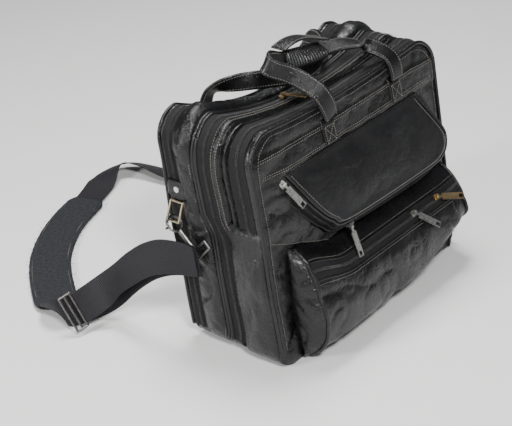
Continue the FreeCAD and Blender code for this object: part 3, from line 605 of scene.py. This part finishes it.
def front_relief(x, z, k):
    rim = min(k * 7.0, 1.0)
    lift = edge_round(rim, 0.0035) + 0.0030 * step(k, 0.0, 0.5)
    loose = step(k, 0.01, 0.10) * (1 - 0.5 * step(z, 0.26, 0.30))
    left = 1.0 + 0.9 * step(-x, 0.05, 0.20)
    lift += wrinkle((x, 0.0, z), 0.0042, 13.0, 7.0) * loose * left
    above = step(z, 0.3165, 0.3200) * step(k, 0.0, 0.03)
    lift += 0.0030 * above * noise.noise(Vector((x * 45.0, 0.0, z * 9.0)))
    band = step(z, 0.2785, 0.2800) * (1 - step(z, 0.3150, 0.3165)) * step(0.221 - abs(x), 0, 0.004)
    seam = min(abs(z - front_seam_z(x)) / 0.0030, 1.0)
    return lift + 0.0016 * band - 0.0016 * (1 - seam) * step(k, 0.01, 0.05)


def back_relief(x, z, k):
    rim = min(k * 7.0, 1.0)
    lift = edge_round(rim, 0.0035) + 0.0030 * step(k, 0.0, 0.5)
    under_handle = step(z, 0.20, 0.23) * (1 - step(abs(x - 0.007), 0.128, 0.155))
    lift -= 0.0026 * under_handle
    folds = 0.0034 * (1 - 0.6 * under_handle)
    return lift + wrinkle((x, 0.3, z), folds, 9.0, 11.0) * step(k, 0.01, 0.12)


def front_seam_z(x):
    """The stitched seam that runs down from the left edge to the lower pocket."""
    return 0.136 + (-0.065 - x) * 0.374 if x < -0.065 else 0.136 - (x + 0.065) * 0.139


def front_at(x, z, lift=0.0):
    """A point on the front panel's own surface."""
    ring_reach = max(abs(x) / (LENGTH / 2), abs(z - CREST.z) / (HEIGHT / 2))
    k = max(0.0, 1 - ring_reach)
    push = front_relief(x, z, k)
    return on_bag(FRONT_Y, x, z) + np.array((0, -(push + lift), 0))


def front_line(points, count, lift):
    line = resample(points, count)
    return np.array([front_at(x, z, lift) for x, z in line])


def cross_box(name, at, cx, cz, half_w, half_h, normal, body):
    """The square of stitches with a cross in it that holds a handle's end."""
    corners = [(cx - half_w, cz - half_h), (cx + half_w, cz - half_h), (cx + half_w, cz + half_h),
               (cx - half_w, cz + half_h)]
    runs = list(zip(corners, corners[1:] + corners[:1])) + [(corners[0], corners[2]),
                                                            (corners[1], corners[3])]
    for k, (a, b) in enumerate(runs):
        line = resample([a, b], 12)
        stitches("%s_%d" % (name, k), [at(x, z) for x, z in line], normal, body, 0.0034, 0.0005,
                 0.0013)


def build_panels():
    panel("front_panel_leather", FRONT_Y, -1, front_relief, "front_half",
          ["front_panel", "front_band"])
    panel("back_panel_leather", BACK_Y, 1, back_relief, "back_flap", ["back_panel"])
    forward = (0.0, -1.0, 0.0)
    for name, z in (("band_low_a", 0.2850), ("band_low_b", 0.2882), ("band_high_a", 0.3100),
                    ("band_high_b", 0.3136)):
        stitches(name, front_line([(-0.200, z), (0.200, z)], 160, 0.0002), forward, "front_half")
    seam = [(x, front_seam_z(x) + 0.0045) for x in np.linspace(-0.205, 0.190, 60)]
    stitches("front_seam", front_line(seam, 160, 0.0002), forward, "front_half")
    inside = [(x * 0.955, CREST.z + (z - CREST.z) * 0.955)
              for x, z in outline(FRONT_Y, 400, True)[0]]
    stitches("front_edge_stitch", front_line(inside, 400, 0.0004), forward, "front_half")
    for name, yb, body, nodes in (
            ("front_divider_sheet", FRONT_DIVIDER_Y, "front_half", ["front_divider"]),
            ("rear_divider_sheet", DIVIDER_Y, "rear_section", ["rear_divider"])):
        ring, _ = outline(yb, 300, False, 0.0045)
        outer, inner = [], []
        for j in range(26):
            scale = 1 - (j / 25) * 0.999
            rows = [(x * scale, CREST.z + (z - CREST.z) * scale) for x, z in ring]
            outer.append([on_bag(yb - 0.0010, x, z) + (0, wrinkle((x, yb, z), 0.0010), 0)
                          for x, z in rows])
            inner.append([on_bag(yb + 0.0010, x, z) + (0, wrinkle((x, yb, z), 0.0010), 0)
                          for x, z in rows])
        shell(name, outer, inner, True, [LINING, LINING], body, nodes)


# ---- organizer pocket -----------------------------------------------------------------------------
ORG_TOP = 0.277
ORG_BASE = [(-0.184, ORG_TOP), (-0.165, 0.245), (-0.140, 0.212), (-0.105, 0.176), (-0.062, 0.153),
            (0.100, 0.144), (0.172, 0.150), (0.203, 0.172), (0.197, 0.215), (0.166, ORG_TOP)]
ORG_FLAP = [(-0.158, ORG_TOP), (-0.143, 0.250), (-0.124, 0.218), (-0.104, 0.197),
            (-0.075, 0.186), (0.100, 0.183), (0.158, 0.187), (0.180, 0.205), (0.175, 0.228),
            (0.148, ORG_TOP)]
FLAP_TOP_Y, FLAP_LOW_Y, FLAP_LOW_Z, FLAP_T = -0.067, -0.112, 0.183, 0.0035
ORG_COUNT = 200


def flap_y(z):
    k = (ORG_TOP - z) / (ORG_TOP - FLAP_LOW_Z)
    return FLAP_TOP_Y + (FLAP_LOW_Y - FLAP_TOP_Y) * k


def organizer_row(f, grow):
    """A line round the pocket's side wall at a fraction f of its depth, pushed out by grow."""
    line = smooth_through([((1 - f) * a[0] + f * b[0], (1 - f) * a[1] + f * b[1])
                           for a, b in zip(ORG_BASE, ORG_FLAP)], ORG_COUNT)
    ahead = np.gradient(line, axis=0)
    ahead /= np.linalg.norm(ahead, axis=1)[:, None]
    out = np.stack([ahead[:, 1], -ahead[:, 0]], 1)
    rows = []
    for (x, z), (nx, nz) in zip(line, out):
        y = (1 - f) * (FRONT_Y + LEAN * z) + f * (flap_y(z) + FLAP_T)
        g = grow(f, x, z) if callable(grow) else grow
        rows.append((x + nx * g, y, z + nz * g))
    return np.array(rows), np.stack([out[:, 0], 0 * out[:, 0], out[:, 1]], 1)


def side_wall(name, f0, f1, rows, grow, mat, body, nodes=()):
    outer = [organizer_row(f, grow)[0] for f in np.linspace(f0, f1, rows)]
    inner = [organizer_row(f, -0.0022)[0] for f in np.linspace(f0, f1, rows)]
    return shell(name, outer, inner, False, [mat, LINING], body, nodes, True)


def build_organizer():
    def soft_wall(f, x, z):
        bulge = 4 * (f / 0.24) * (1 - f / 0.24)
        return 0.0012 + 0.0022 * max(0.0, bulge) + wrinkle((x, f, z), 0.0016, 24.0, 4.0)

    side_wall("organizer_wall", -0.06, 0.245, 10, soft_wall, LEATHER, "front_half",
              ["organizer_gusset"])
    side_wall("organizer_tape_low", 0.24, 0.548, 8, 0.0013, TAPE, "front_half",
              ["organizer_tape_body"])
    side_wall("organizer_tape_high", 0.562, 0.93, 8, 0.0014, TAPE, "organizer_flap_body",
              ["organizer_tape_flap"])
    mid, normals = organizer_row(0.555, 0.0022)
    low, _ = organizer_row(0.50, 0.0022)
    across = mid - low
    across /= np.linalg.norm(across, axis=1)[:, None]
    for name, body, side in (("organizer_teeth_low", "front_half", -1),
                             ("organizer_teeth_high", "organizer_flap_body", 1)):
        teeth(name, mid, normals, across, body, side)
    edge, _ = organizer_row(0.955, 0.0022)
    tube("organizer_edge", edge, 0.0027, TRIM_LEATHER, "organizer_flap_body", ())
    seam, _ = organizer_row(0.235, 0.0022)
    tube("organizer_seam", seam, 0.0016, TRIM_LEATHER, "front_half", ())
    root, _ = organizer_row(-0.01, 0.0030)
    tube("organizer_root", root, 0.0022, TRIM_LEATHER, "front_half", ())

    loop = smooth_through(ORG_FLAP, 260)
    top = resample([ORG_FLAP[-1], ORG_FLAP[0]], 110)[1:-1]
    ring = np.vstack([loop, top])
    centre = np.array((0.012, 0.233))
    outer, inner = [], []
    for j in range(44):
        k = j / 43
        scale = 1 - k * 0.999
        row_out, row_in = [], []
        for x, z in centre + (ring - centre) * scale:
            near_top = step(z, ORG_TOP - 0.02, ORG_TOP)
            drop = edge_round(min(k * 12.0, 1.0), 0.0022) * (1 - near_top)
            push = drop + 0.0045 * step(k, 0.0, 0.8) * (1 - near_top)
            push += wrinkle((x, 0.9, z), 0.0013, 15.0, 9.0) * step(k, 0.02, 0.2) * (1 - near_top)
            row_out.append((x, flap_y(z) - push, z))
            row_in.append((x, flap_y(z) + FLAP_T - 0.0004, z))
        outer.append(row_out)
        inner.append(row_in)
    shell("organizer_cover", outer, inner, True, [FLAP_LEATHER, LINING], "organizer_flap_body",
          ["organizer_flap"])
    small = [tuple(centre + (np.array(p) - centre) * 0.955) for p in loop]
    line = [(x, flap_y(z) - 0.0012, z) for x, z in small]
    stitches("organizer_stitch", line, (0.0, -1.0, -0.2), "organizer_flap_body")
    rows_out, rows_in = [], []
    for angle in np.linspace(0, 1, 8):
        z = ORG_TOP + 0.0050 * math.cos(angle * math.pi / 2)
        y = -0.0590 + (FLAP_TOP_Y + 0.0004 + 0.0590) * math.sin(angle * math.pi / 2)
        rows_out.append([(x, y, z) for x in np.linspace(-0.160, 0.150, 60)])
        rows_in.append([(x, y + 0.0022, z - 0.0022) for x in np.linspace(-0.160, 0.150, 60)])
    shell("organizer_fold", rows_out, rows_in, False, [LEATHER, LINING], "front_half", ())


# ---- lower pocket ---------------------------------------------------------------------------------
POCKET_X0, POCKET_X1 = -0.166, 0.196
POCKET_LINE = [(-0.0765, 0.148), (-0.104, 0.131), (-0.128, 0.098), (-0.137, 0.066),
               (-0.130, 0.032), (-0.098, 0.003)]


def pocket_point(x, v, out=0.0):
    """A point on the pocket's face: x along the bag, v from 0 at its top to 1 at its foot."""
    line = POCKET_SMOOTH
    place = v * (len(line) - 1)
    i = min(int(place), len(line) - 2)
    y, z = line[i] + (line[i + 1] - line[i]) * (place - i)
    ahead = unit(line[i + 1] - line[i])
    lift = 0.024 * step(-x, 0.080, 0.166) * (1 - step(v, 0.15, 0.6))
    z += lift
    face = FRONT_Y + LEAN * z
    low = 0.004 + 0.050 * step(x, 0.020, 0.185)
    reach = 1 - 0.72 * step(low + 0.030 - z, 0.0, 0.045) * step(x, 0.0, 0.12)
    ends = 1 - 0.10 * step(abs(x - 0.015), 0.14, 0.181)
    folds = wrinkle((x, y, z), 0.0058, 11.0, 13.0) * step(v, 0.30, 0.42) * (1 - 0.6 * step(v, 0.9, 1))
    y = face + (y - face) * reach * ends
    return np.array((x, y + ahead[1] * (out + folds), max(0.0006, z - ahead[0] * (out + folds))))


POCKET_SMOOTH = smooth_through(POCKET_LINE, 120)
ZIP_V = 0.245


def pocket_sheet(name, v0, v1, rows, out, mat, nodes=(), columns=200):
    grid_out, grid_in = [], []
    for v in np.linspace(v0, v1, rows):
        xs = np.linspace(POCKET_X0, POCKET_X1, columns)
        grid_out.append([pocket_point(x, v, out) for x in xs])
        grid_in.append([pocket_point(x, v, out - 0.0026) for x in xs])
    return shell(name, grid_out, grid_in, False, [mat, LINING], "front_half", nodes, True)


def pocket_side(name, x, nodes):
    """The pocket's end wall, creased where it folds in."""
    outer, inner = [], []
    sign = 1 if x > 0 else -1
    for v in np.linspace(0.0, 1.0, 70):
        edge = pocket_point(x, v, 0.0)
        slope = (0.016 if sign < 0 else 0.004) * math.sin(math.pi * v) ** 0.7
        root = np.array((x + sign * slope, FRONT_Y + LEAN * edge[2] + 0.001, edge[2]))
        row_out, row_in = [], []
        for k in np.linspace(0, 1, 18):
            p = edge + (root - edge) * k
            swell = 4 * k * (1 - k) * (0.0055 if sign > 0 else 0.0080)
            fold = wrinkle(p, 0.0030, 30.0, 3.0) * 4 * k * (1 - k)
            row_out.append(p + np.array((sign * (swell + fold), 0, 0)))
            row_in.append(p + np.array((sign * (swell + fold - 0.002), 0, 0)))
        outer.append(row_out)
        inner.append(row_in)
    return shell(name, outer, inner, False, [LEATHER, LINING], "front_half", nodes,
                 sign < 0)


def build_lower_pocket():
    pocket_sheet("pocket_upper", 0.0, ZIP_V - 0.055, 12, 0.0, LEATHER)
    pocket_sheet("pocket_tape", ZIP_V - 0.060, ZIP_V + 0.060, 9, 0.0010, TAPE,
                 ["pocket_zip_tapes"])
    pocket_sheet("pocket_face", ZIP_V + 0.055, 1.0, 60, 0.0, LEATHER, ["lower_pocket_front"])
    pocket_side("pocket_side_left", POCKET_X0, ["lower_pocket_gusset"])
    pocket_side("pocket_side_right", POCKET_X1, ())
    xs = np.linspace(POCKET_X0, POCKET_X1, 240)
    line = np.array([pocket_point(x, ZIP_V, 0.0022) for x in xs])
    below = np.array([pocket_point(x, ZIP_V + 0.02, 0.0022) for x in xs])
    across = below - line
    across /= np.linalg.norm(across, axis=1)[:, None]
    normals = np.cross(across, np.gradient(line, axis=0))
    normals /= np.linalg.norm(normals, axis=1)[:, None]
    if normals[100][1] > 0:
        normals = -normals
    for name, side in (("pocket_teeth_low", 1), ("pocket_teeth_high", -1)):
        teeth(name, line, normals, across, "front_half", side)
    for name, v in (("pocket_lip_high", ZIP_V - 0.062), ("pocket_lip_low", ZIP_V + 0.062)):
        tube(name, [pocket_point(x, v, 0.0006) for x in xs], 0.0017, TRIM_LEATHER, "front_half")
    for name, v in (("pocket_stitch_high", ZIP_V - 0.085), ("pocket_stitch_low", ZIP_V + 0.088)):
        stitches(name, [pocket_point(x, v, 0.0004) for x in xs], normals, "front_half")
    edge = [pocket_point(POCKET_X0, v, 0.0004) for v in np.linspace(0.02, 0.985, 160)]
    tube("pocket_piping", edge, 0.0032, TRIM_LEATHER, "front_half", ["lower_pocket_piping"])
    edge = [pocket_point(POCKET_X1, v, 0.0002) for v in np.linspace(0.02, 0.985, 160)]
    tube("pocket_piping_right", edge, 0.0028, TRIM_LEATHER, "front_half")


# ---- ribbons: handles and straps --------------------------------------------------------------
def route(name, points, order=3):
    """The smooth line that the control points give, evenly spaced."""
    curve = bpy.data.curves.new(name, "CURVE")
    curve.dimensions = "3D"
    curve.resolution_u = 14
    spline = curve.splines.new("NURBS")
    spline.points.add(len(points) - 1)
    for point, place in zip(spline.points, points):
        point.co = (*(c / 1000 for c in place), 1.0)
    spline.order_u = order
    spline.use_endpoint_u = True
    holder = bpy.data.objects.new(name, curve)
    bpy.context.scene.collection.objects.link(holder)
    bpy.context.view_layer.update()
    mesh = bpy.data.meshes.new_from_object(holder)
    line = np.array([v.co[:] for v in mesh.vertices])
    bpy.data.objects.remove(holder)
    bpy.data.curves.remove(curve)
    bpy.data.meshes.remove(mesh)
    return line


def frames_along(line, points, widths):
    """For each place on the line: the way ahead, the way across and the normal."""
    ahead = np.gradient(line, axis=0)
    ahead /= np.linalg.norm(ahead, axis=1)[:, None]
    control = np.asarray(points, float) / 1000
    steps = np.linalg.norm(np.diff(control, axis=0), axis=1)
    at = np.concatenate([[0], np.cumsum(steps)]) / steps.sum()
    runs = np.linalg.norm(np.diff(line, axis=0), axis=1)
    want = np.concatenate([[0], np.cumsum(runs)]) / runs.sum()
    wide = np.array([unit(w) for w in widths])
    across = np.stack([np.interp(want, at, wide[:, k]) for k in range(3)], 1)
    across -= ahead * (across * ahead).sum(1)[:, None]
    across /= np.linalg.norm(across, axis=1)[:, None]
    return ahead, across, np.cross(ahead, across), want * runs.sum()


def ribbon(name, line, frames, section, mat, body, nodes=()):
    """A solid band along the line; section(s, t) gives (across, up) for s along, t round it."""
    ahead, across, up, along = frames
    sides = 28
    verts, uvs = [], []
    for k, place in enumerate(line):
        for i in range(sides):
            a, b = section(along[k], i / sides)
            verts.append(place + across[k] * a + up[k] * b)
            uvs.append((a / 0.050, along[k]))
    faces = grid_faces(len(line), sides, True)
    faces += [list(range(sides))[::-1], list(range((len(line) - 1) * sides, len(line) * sides))]
    obj = piece(name, verts, faces, mat, body, nodes)
    layer = obj.data.uv_layers.new(name="strap")
    for loop in obj.data.loops:
        layer.data[loop.index].uv = uvs[loop.vertex_index]
    return obj


def pillow(width, thick, power=0.35, uneven=0.0, seed=0.0):
    """A flat band with rounded edges and a slightly crowned face."""
    def section(s, t):
        c, d = math.cos(2 * math.pi * t), math.sin(2 * math.pi * t)
        wobble = uneven * noise.noise(Vector((s * 40, seed, c)))
        a = math.copysign(abs(c) ** power, c) * (width / 2 + wobble)
        b = math.copysign(abs(d) ** 0.55, d) * (thick / 2) * (1 + wobble * 60)
        return a, b
    return section


MAIN_ROUTE = [(-241.6, 31.0, 153.0), (-244.4, 72.0, 148.0), (-241.0, 121.0, 125.0),
              (-238.5, 166.0, 88.0), (-240.0, 204.0, 50.0), (-254.0, 230.0, 28.0),
              (-286.0, 238.0, 28.0), (-317.0, 254.0, 27.0), (-308.0, 280.0, 16.0),
              (-284.0, 302.0, 7.0), (-246.0, 357.0, 5.8), (-196.0, 416.0, 5.8),
              (-140.0, 459.0, 5.8), (-78.0, 492.0, 5.8), (-14.0, 512.0, 5.8),
              (34.0, 531.0, 7.0), (78.0, 549.0, 17.0), (110.0, 537.0, 20.0),
              (124.0, 497.0, 15.0), (128.0, 447.0, 9.5), (146.0, 392.0, 5.0),
              (178.0, 334.0, 3.6), (209.0, 278.0, 3.6), (232.0, 222.0, 6.0),
              (244.0, 172.0, 16.0), (247.0, 132.0, 42.0), (245.0, 104.0, 76.0),
              (242.5, 84.0, 106.0), (241.0, 73.0, 128.0)]
MAIN_WIDTHS = [(0, -0.69, 0.72), (0.1, -0.1, 0.97), (0.25, 0.30, 0.90), (0.30, 0.25, 0.90),
               (0.3, 0.1, 0.92), (0.35, 0.3, 0.88), (0.1, 0.35, 0.93), (-0.2, 0.35, 0.90),
               (-0.60, 0.5, 0.42), (-0.83, 0.55, 0.05), (-0.80, 0.60, 0), (-0.70, 0.71, 0),
               (-0.55, 0.83, 0), (-0.40, 0.92, 0), (-0.35, 0.94, 0), (-0.38, 0.92, 0.1),
               (0.1, 0.85, -0.42), (0.75, 0.50, -0.45), (0.88, 0.20, -0.40),
               (0.95, 0.10, -0.22), (0.95, 0.30, 0), (0.88, 0.48, 0), (0.87, 0.48, 0),
               (0.93, 0.36, -0.05), (0.95, 0.1, -0.25), (0.8, -0.5, -0.3), (0.3, -0.9, -0.2),
               (0.05, -1, 0.05), (0, -0.995, 0.1)]
ADJUST_ROUTE = [(-247.6, 31.0, 155.0), (-251.5, 76.0, 153.0), (-249.0, 126.0, 131.0),
                (-249.0, 170.0, 97.0), (-253.0, 204.0, 65.0), (-275.0, 221.0, 44.0),
                (-304.0, 229.0, 37.0)]
ADJUST_WIDTHS = [(0, -0.69, 0.72), (0.2, -0.05, 0.97), (0.37, 0.30, 0.88), (0.40, 0.25, 0.86),
                 (0.50, 0.2, 0.80), (0.45, 0.4, 0.75), (0.2, 0.4, 0.9)]
PAD_RUN = slice(9, 15)
FRONT_HANDLE = [(-50.0, -63.0, 320.0), (-57.0, -63.0, 352.0), (-70.0, -38.0, 375.0),
                (-84.0, -17.0, 389.0), (-106.0, -3.0, 401.0), (-97.0, 10.0, 409.0),
                (-54.0, 12.0, 388.0), (-10.0, 11.0, 381.0), (29.0, 9.0, 378.0),
                (58.0, 0.0, 378.0), (84.0, -15.0, 373.0), (101.0, -42.0, 363.0),
                (107.0, -63.0, 347.0), (108.0, -63.0, 320.0)]
FRONT_HANDLE_W = [(1, 0, 0), (0.9, -0.4, 0.2), (0.75, -0.5, 0.4), (0.55, -0.3, 0.8),
                  (0.44, -0.22, 0.87), (0.44, -0.1, 0.9), (0.3, 0.3, 0.9), (0.1, 0.7, 0.6),
                  (0, 0.9, 0.4), (-0.2, 0.9, 0.3), (-0.5, 0.8, 0.2), (-0.85, 0.5, 0.1),
                  (-1, 0.15, 0.05), (-1, 0, 0)]
BACK_HANDLE = [(-104.0, 122.5, 305.0), (-103.0, 122.0, 334.0), (-92.0, 98.0, 348.0),
               (-67.0, 73.0, 350.0), (-38.0, 50.0, 349.0), (-6.0, 33.0, 345.0),
               (34.0, 27.0, 347.0), (74.0, 42.0, 354.0), (100.0, 76.0, 358.0),
               (116.0, 118.0, 344.0), (118.0, 122.5, 305.0)]
BACK_HANDLE_W = [(-1, 0, 0), (-1, 0, 0.1), (-0.6, 0.1, 0.8), (0.1, 0.2, 0.95),
                 (0.3, 0.25, 0.9), (0.2, 0.25, 0.9), (0, 0.2, 0.95), (0, -0.2, 0.95),
                 (0.3, -0.3, 0.8), (0.8, 0.2, 0.4), (1, 0, 0)]
WRAP = [(-68.0, 9.0, 413.0), (-48.0, 9.0, 418.0), (-18.0, 9.0, 414.0), (9.0, 9.0, 402.5),
        (30.0, 9.0, 394.5)]


def edge_stitches(name, line, frames, offset, lift, body, both=True):
    ahead, across, up, _ = frames
    for tag, side in (("a", 1), ("b", -1)):
        for face in (1, -1) if both else (1,):
            stitches("%s_%s%s" % (name, tag, "t" if face > 0 else "u"),
                     line + across * (side * offset) + up * (face * lift), up * face, body,
                     0.0040, 0.0)


def build_strap():
    main = route("main", MAIN_ROUTE)
    frames = frames_along(main, MAIN_ROUTE, MAIN_WIDTHS)
    webbing = ribbon("webbing_long", main, frames, pillow(0.050, 0.0020, 0.18), WEBBING,
                     "rear_section", ["strap_webbing"])
    adjust = route("adjust", ADJUST_ROUTE)
    adjust_frames = frames_along(adjust, ADJUST_ROUTE, ADJUST_WIDTHS)
    short = ribbon("webbing_short", adjust, adjust_frames, pillow(0.050, 0.0020, 0.18), WEBBING,
                   "rear_section", ["strap_adjuster"])
    pad_points, pad_widths = MAIN_ROUTE[PAD_RUN], MAIN_WIDTHS[PAD_RUN]
    pad_line = route("pad", pad_points)
    pad_frames = frames_along(pad_line, pad_points, pad_widths)
    total = pad_frames[3][-1]

    def pad_section(s, t):
        c, d = math.cos(2 * math.pi * t), math.sin(2 * math.pi * t)
        end = min(s, total - s)
        width = 0.034 * (0.80 + 0.20 * min(1.0, (end / 0.016)) ** 0.5)
        fray = 0.0011 * noise.noise(Vector((s * 120, c * 2, 3.0)))
        a = math.copysign(abs(c) ** 0.30, c) * (width + fray)
        b = math.copysign(abs(d) ** 0.45, d) * 0.0044
        rim = step(abs(a) / width, 0.80, 0.95)
        b *= 1 - 0.45 * rim * (1 if d > 0 else 0.3)
        b += 0.0009 * noise.noise(Vector((s * 22, a * 30, 1.0))) * (1 if d > 0 else 0)
        return a, b

    pad = ribbon("strap_pad", pad_line, pad_frames, pad_section, SUEDE, "rear_section",
                 ["shoulder_pad"])
    edge_stitches("pad_stitch", pad_line[4:-4], [f[4:-4] for f in pad_frames], 0.0285, 0.0030,
                  "rear_section", False)
    threads(pad_line, pad_frames)


def threads(line, frames):
    """Loose frayed threads along the pad's outer edge."""
    ahead, across, up, _ = frames
    places = np.linspace(6, len(line) - 8, 22).astype(int)
    for n, k in enumerate(places):
        side = 1 if n % 3 else -1
        start = line[k] + across[k] * (side * 0.0335)
        spread = noise.noise(Vector((n * 1.7, 2.0, 5.0)))
        reach = 0.006 + 0.006 * abs(noise.noise(Vector((n * 2.3, 7.0, 1.0))))
        way = unit(across[k] * side + ahead[k] * spread * 2.0 + np.array((0, 0, 0.15)))
        bend = unit(way + ahead[k] * 0.5)
        points = [start, start + way * reach * 0.5, start + way * reach * 0.8 + bend * reach * 0.3]
        points = [np.array((p[0], p[1], max(p[2] - 0.0015, 0.0008))) for p in points]
        tube("pad_thread_%02d" % n, resample(points, 7), 0.00025, THREAD, "rear_section", (),
             5)


def build_handles():
    front = route("front_handle_line", FRONT_HANDLE)
    frames = frames_along(front, FRONT_HANDLE, FRONT_HANDLE_W)
    ribbon("front_handle_leather", front, frames, pillow(0.027, 0.0052, 0.32, 0.0006), TRIM_LEATHER,
           "front_handle_body", ["front_handle"])
    edge_stitches("front_handle_stitch", front, frames, 0.0098, 0.0026, "front_handle_body")
    points, widths = FRONT_HANDLE[6:9], FRONT_HANDLE_W[6:9]
    grip = route("grip_line", points)
    grip = resample(grip, 160)
    grip_frames = frames_along(grip, points, widths)
    total = grip_frames[3][-1]

    def grip_section(s, t):
        c, d = math.cos(2 * math.pi * t), math.sin(2 * math.pi * t)
        end = min(1.0, min(s, total - s) / 0.006)
        ribs = 0.0007 * math.sin(2 * math.pi * s / 0.0052)
        swell = (0.55 + 0.45 * math.sqrt(max(0.0, 1 - (1 - end) ** 2)))
        return (math.copysign(abs(c) ** 0.8, c) * (0.0150 + ribs) * swell,
                math.copysign(abs(d) ** 0.8, d) * (0.0074 + ribs) * swell)

    ribbon("grip_roll", grip, grip_frames, grip_section, GRIP_LEATHER, "front_handle_body",
           ["handle_grip"])
    wrap = route("wrap_line", WRAP)
    wrap_frames = frames_along(wrap, WRAP, [(0, 1, 0)] * len(WRAP))
    ribbon("wrap_leather", wrap, wrap_frames, pillow(0.026, 0.0028, 0.30, 0.0005), TRIM_LEATHER,
           "handle_wrap_body", ["handle_wrap"])
    edge_stitches("wrap_stitch", wrap, wrap_frames, 0.0100, 0.0014, "handle_wrap_body")
    back = route("back_handle_line", BACK_HANDLE)
    back_frames = frames_along(back, BACK_HANDLE, BACK_HANDLE_W)
    ribbon("back_handle_leather", back, back_frames, pillow(0.027, 0.0052, 0.32, 0.0006),
           TRIM_LEATHER, "back_handle_body", ["back_handle"])
    edge_stitches("back_handle_stitch", back, back_frames, 0.0098, 0.0026, "back_handle_body")


def patch(name, x, low, high, yb, sign, body, nodes, lift):
    """A handle's end sewn to a face of the bag, with its stitched square and cross."""
    def at(px, pz, extra=0.0):
        if sign < 0:
            return front_at(px, pz, lift + extra)
        k = max(0.0, 1 - max(abs(px) / (LENGTH / 2), abs(pz - CREST.z) / (HEIGHT / 2)))
        return on_bag(yb, px, pz) + np.array((0, back_relief(px, pz, k) + lift + extra, 0))

    outer, inner = [], []
    for z in np.linspace(low, high, 18):
        row_out, row_in = [], []
        for t in np.linspace(-1, 1, 15):
            round_off = -0.0012 * abs(t) ** 6 - 0.0012 * step(z, high - 0.008, high)
            row_out.append(at(x + t * 0.0135, z, round_off))
            row_in.append(at(x + t * 0.0135, z, -lift - 0.001))
        outer.append(row_out)
        inner.append(row_in)
    shell(name, outer, inner, False, [TRIM_LEATHER, TRIM_LEATHER], body, nodes,
          sign > 0)
    normal = (0.0, float(sign), 0.0)
    cross_box(name + "_cross", lambda px, pz: at(px, pz, 0.0003), x, (low + high) / 2 - 0.004, 0.0100,
              (high - low) / 2 - 0.006, normal, body)


def build_patches():
    for n, x in enumerate((-0.050, 0.108)):
        patch("front_foot_%d" % n, x, 0.284, 0.320, FRONT_Y, -1, "front_half",
              ["front_handle_patches"] if n == 0 else (), 0.0026)
    for n, x in enumerate((-0.104, 0.118)):
        patch("back_foot_%d" % n, x, 0.262, 0.302, BACK_Y, 1, "back_flap",
              ["back_handle_patches"] if n == 0 else (), 0.0018)


def build_tabs():
    """The leather tabs that hold the rings."""
    for n, sign in enumerate((-1, 1)):
        outer, inner = [], []
        for t in np.linspace(0, 1, 22):
            z = 0.255 - t * 0.030
            x = 0.2150 + 0.0030 + 0.0036 * math.sin(math.pi * min(1.0, t * 1.15)) ** 0.6
            x = x + 0.0040 * step(t, 0.55, 0.95)
            row_out, row_in = [], []
            for u in np.linspace(-1, 1, 15):
                y = 0.079 + u * (0.019 - 0.009 * step(t, 0.70, 0.86))
                drop = -0.0016 * abs(u) ** 8
                row_out.append((sign * (x + drop), y, z))
                row_in.append((sign * 0.2155, y, z))
            outer.append(row_out)
            inner.append(row_in)
        shell("ring_tab_%d" % n, outer, inner, False, [TRIM_LEATHER, TRIM_LEATHER],
              "rear_section", ["ring_tabs"] if n == 0 else (), sign > 0)


def finish_metals():
    gold = {"main_zip_slider", "main_zip_pull", "rear_zip_slider", "rear_zip_pull",
            "front_zip_slider", "front_zip_pull", "pocket_right_slider", "pocket_right_pull"}
    dull = {"snap_hooks", "strap_loops", "left_hook_gate", "right_hook_gate", "tri_glide"}
    rings = {"left_ring", "right_ring"}
    for name, node in NODES.items():
        if node.hide_render:
            continue
        mat = BOARD if name == "base_board" else SILVER
        mat = GOLD if name in gold else DULL if name in dull else mat
        mat = BRASSY if name in rings else mat
        node.data.materials.clear()
        node.data.materials.append(mat)


# ---- studio ---------------------------------------------------------------------------------------
def lamp(name, place, aim, size, power):
    data = bpy.data.lights.new(name, "AREA")
    data.shape, data.size, data.energy = "DISK", size, power
    obj = bpy.data.objects.new(name, data)
    bpy.context.scene.collection.objects.link(obj)
    obj.location = place
    obj.rotation_euler = (Vector(aim) - Vector(place)).to_track_quat("-Z", "Y").to_euler()


def build_studio():
    floor = Mat("floor", (0.72, 0.72, 0.71), 0.85)
    floor.bump([(floor.noise(60.0), 0.05, 0.0005)])
    size = 9.0
    obj = piece("floor", [(-size, -size, 0), (size, -size, 0), (size, size, 0), (-size, size, 0)],
                [(0, 1, 2, 3)], floor.mat, None)
    world = bpy.data.worlds.new("studio")
    world.use_nodes = True
    world.node_tree.nodes["Background"].inputs["Color"].default_value = (0.94, 0.96, 1.0, 1.0)
    world.node_tree.nodes["Background"].inputs["Strength"].default_value = 0.19
    bpy.context.scene.world = world
    lamp("key", (-1.1, -1.5, 1.9), (0, 0, 0.15), 0.50, 72.0)
    lamp("top", (0.3, 0.4, 2.2), (0, 0, 0.2), 0.80, 58.0)
    lamp("side", (-2.0, 0.6, 1.1), (-0.1, 0.1, 0.15), 0.55, 36.0)


build_strap()
build_bands()
build_end_cover()
build_panels()
build_organizer()
build_lower_pocket()
build_handles()
build_patches()
build_tabs()
finish_metals()
build_studio()
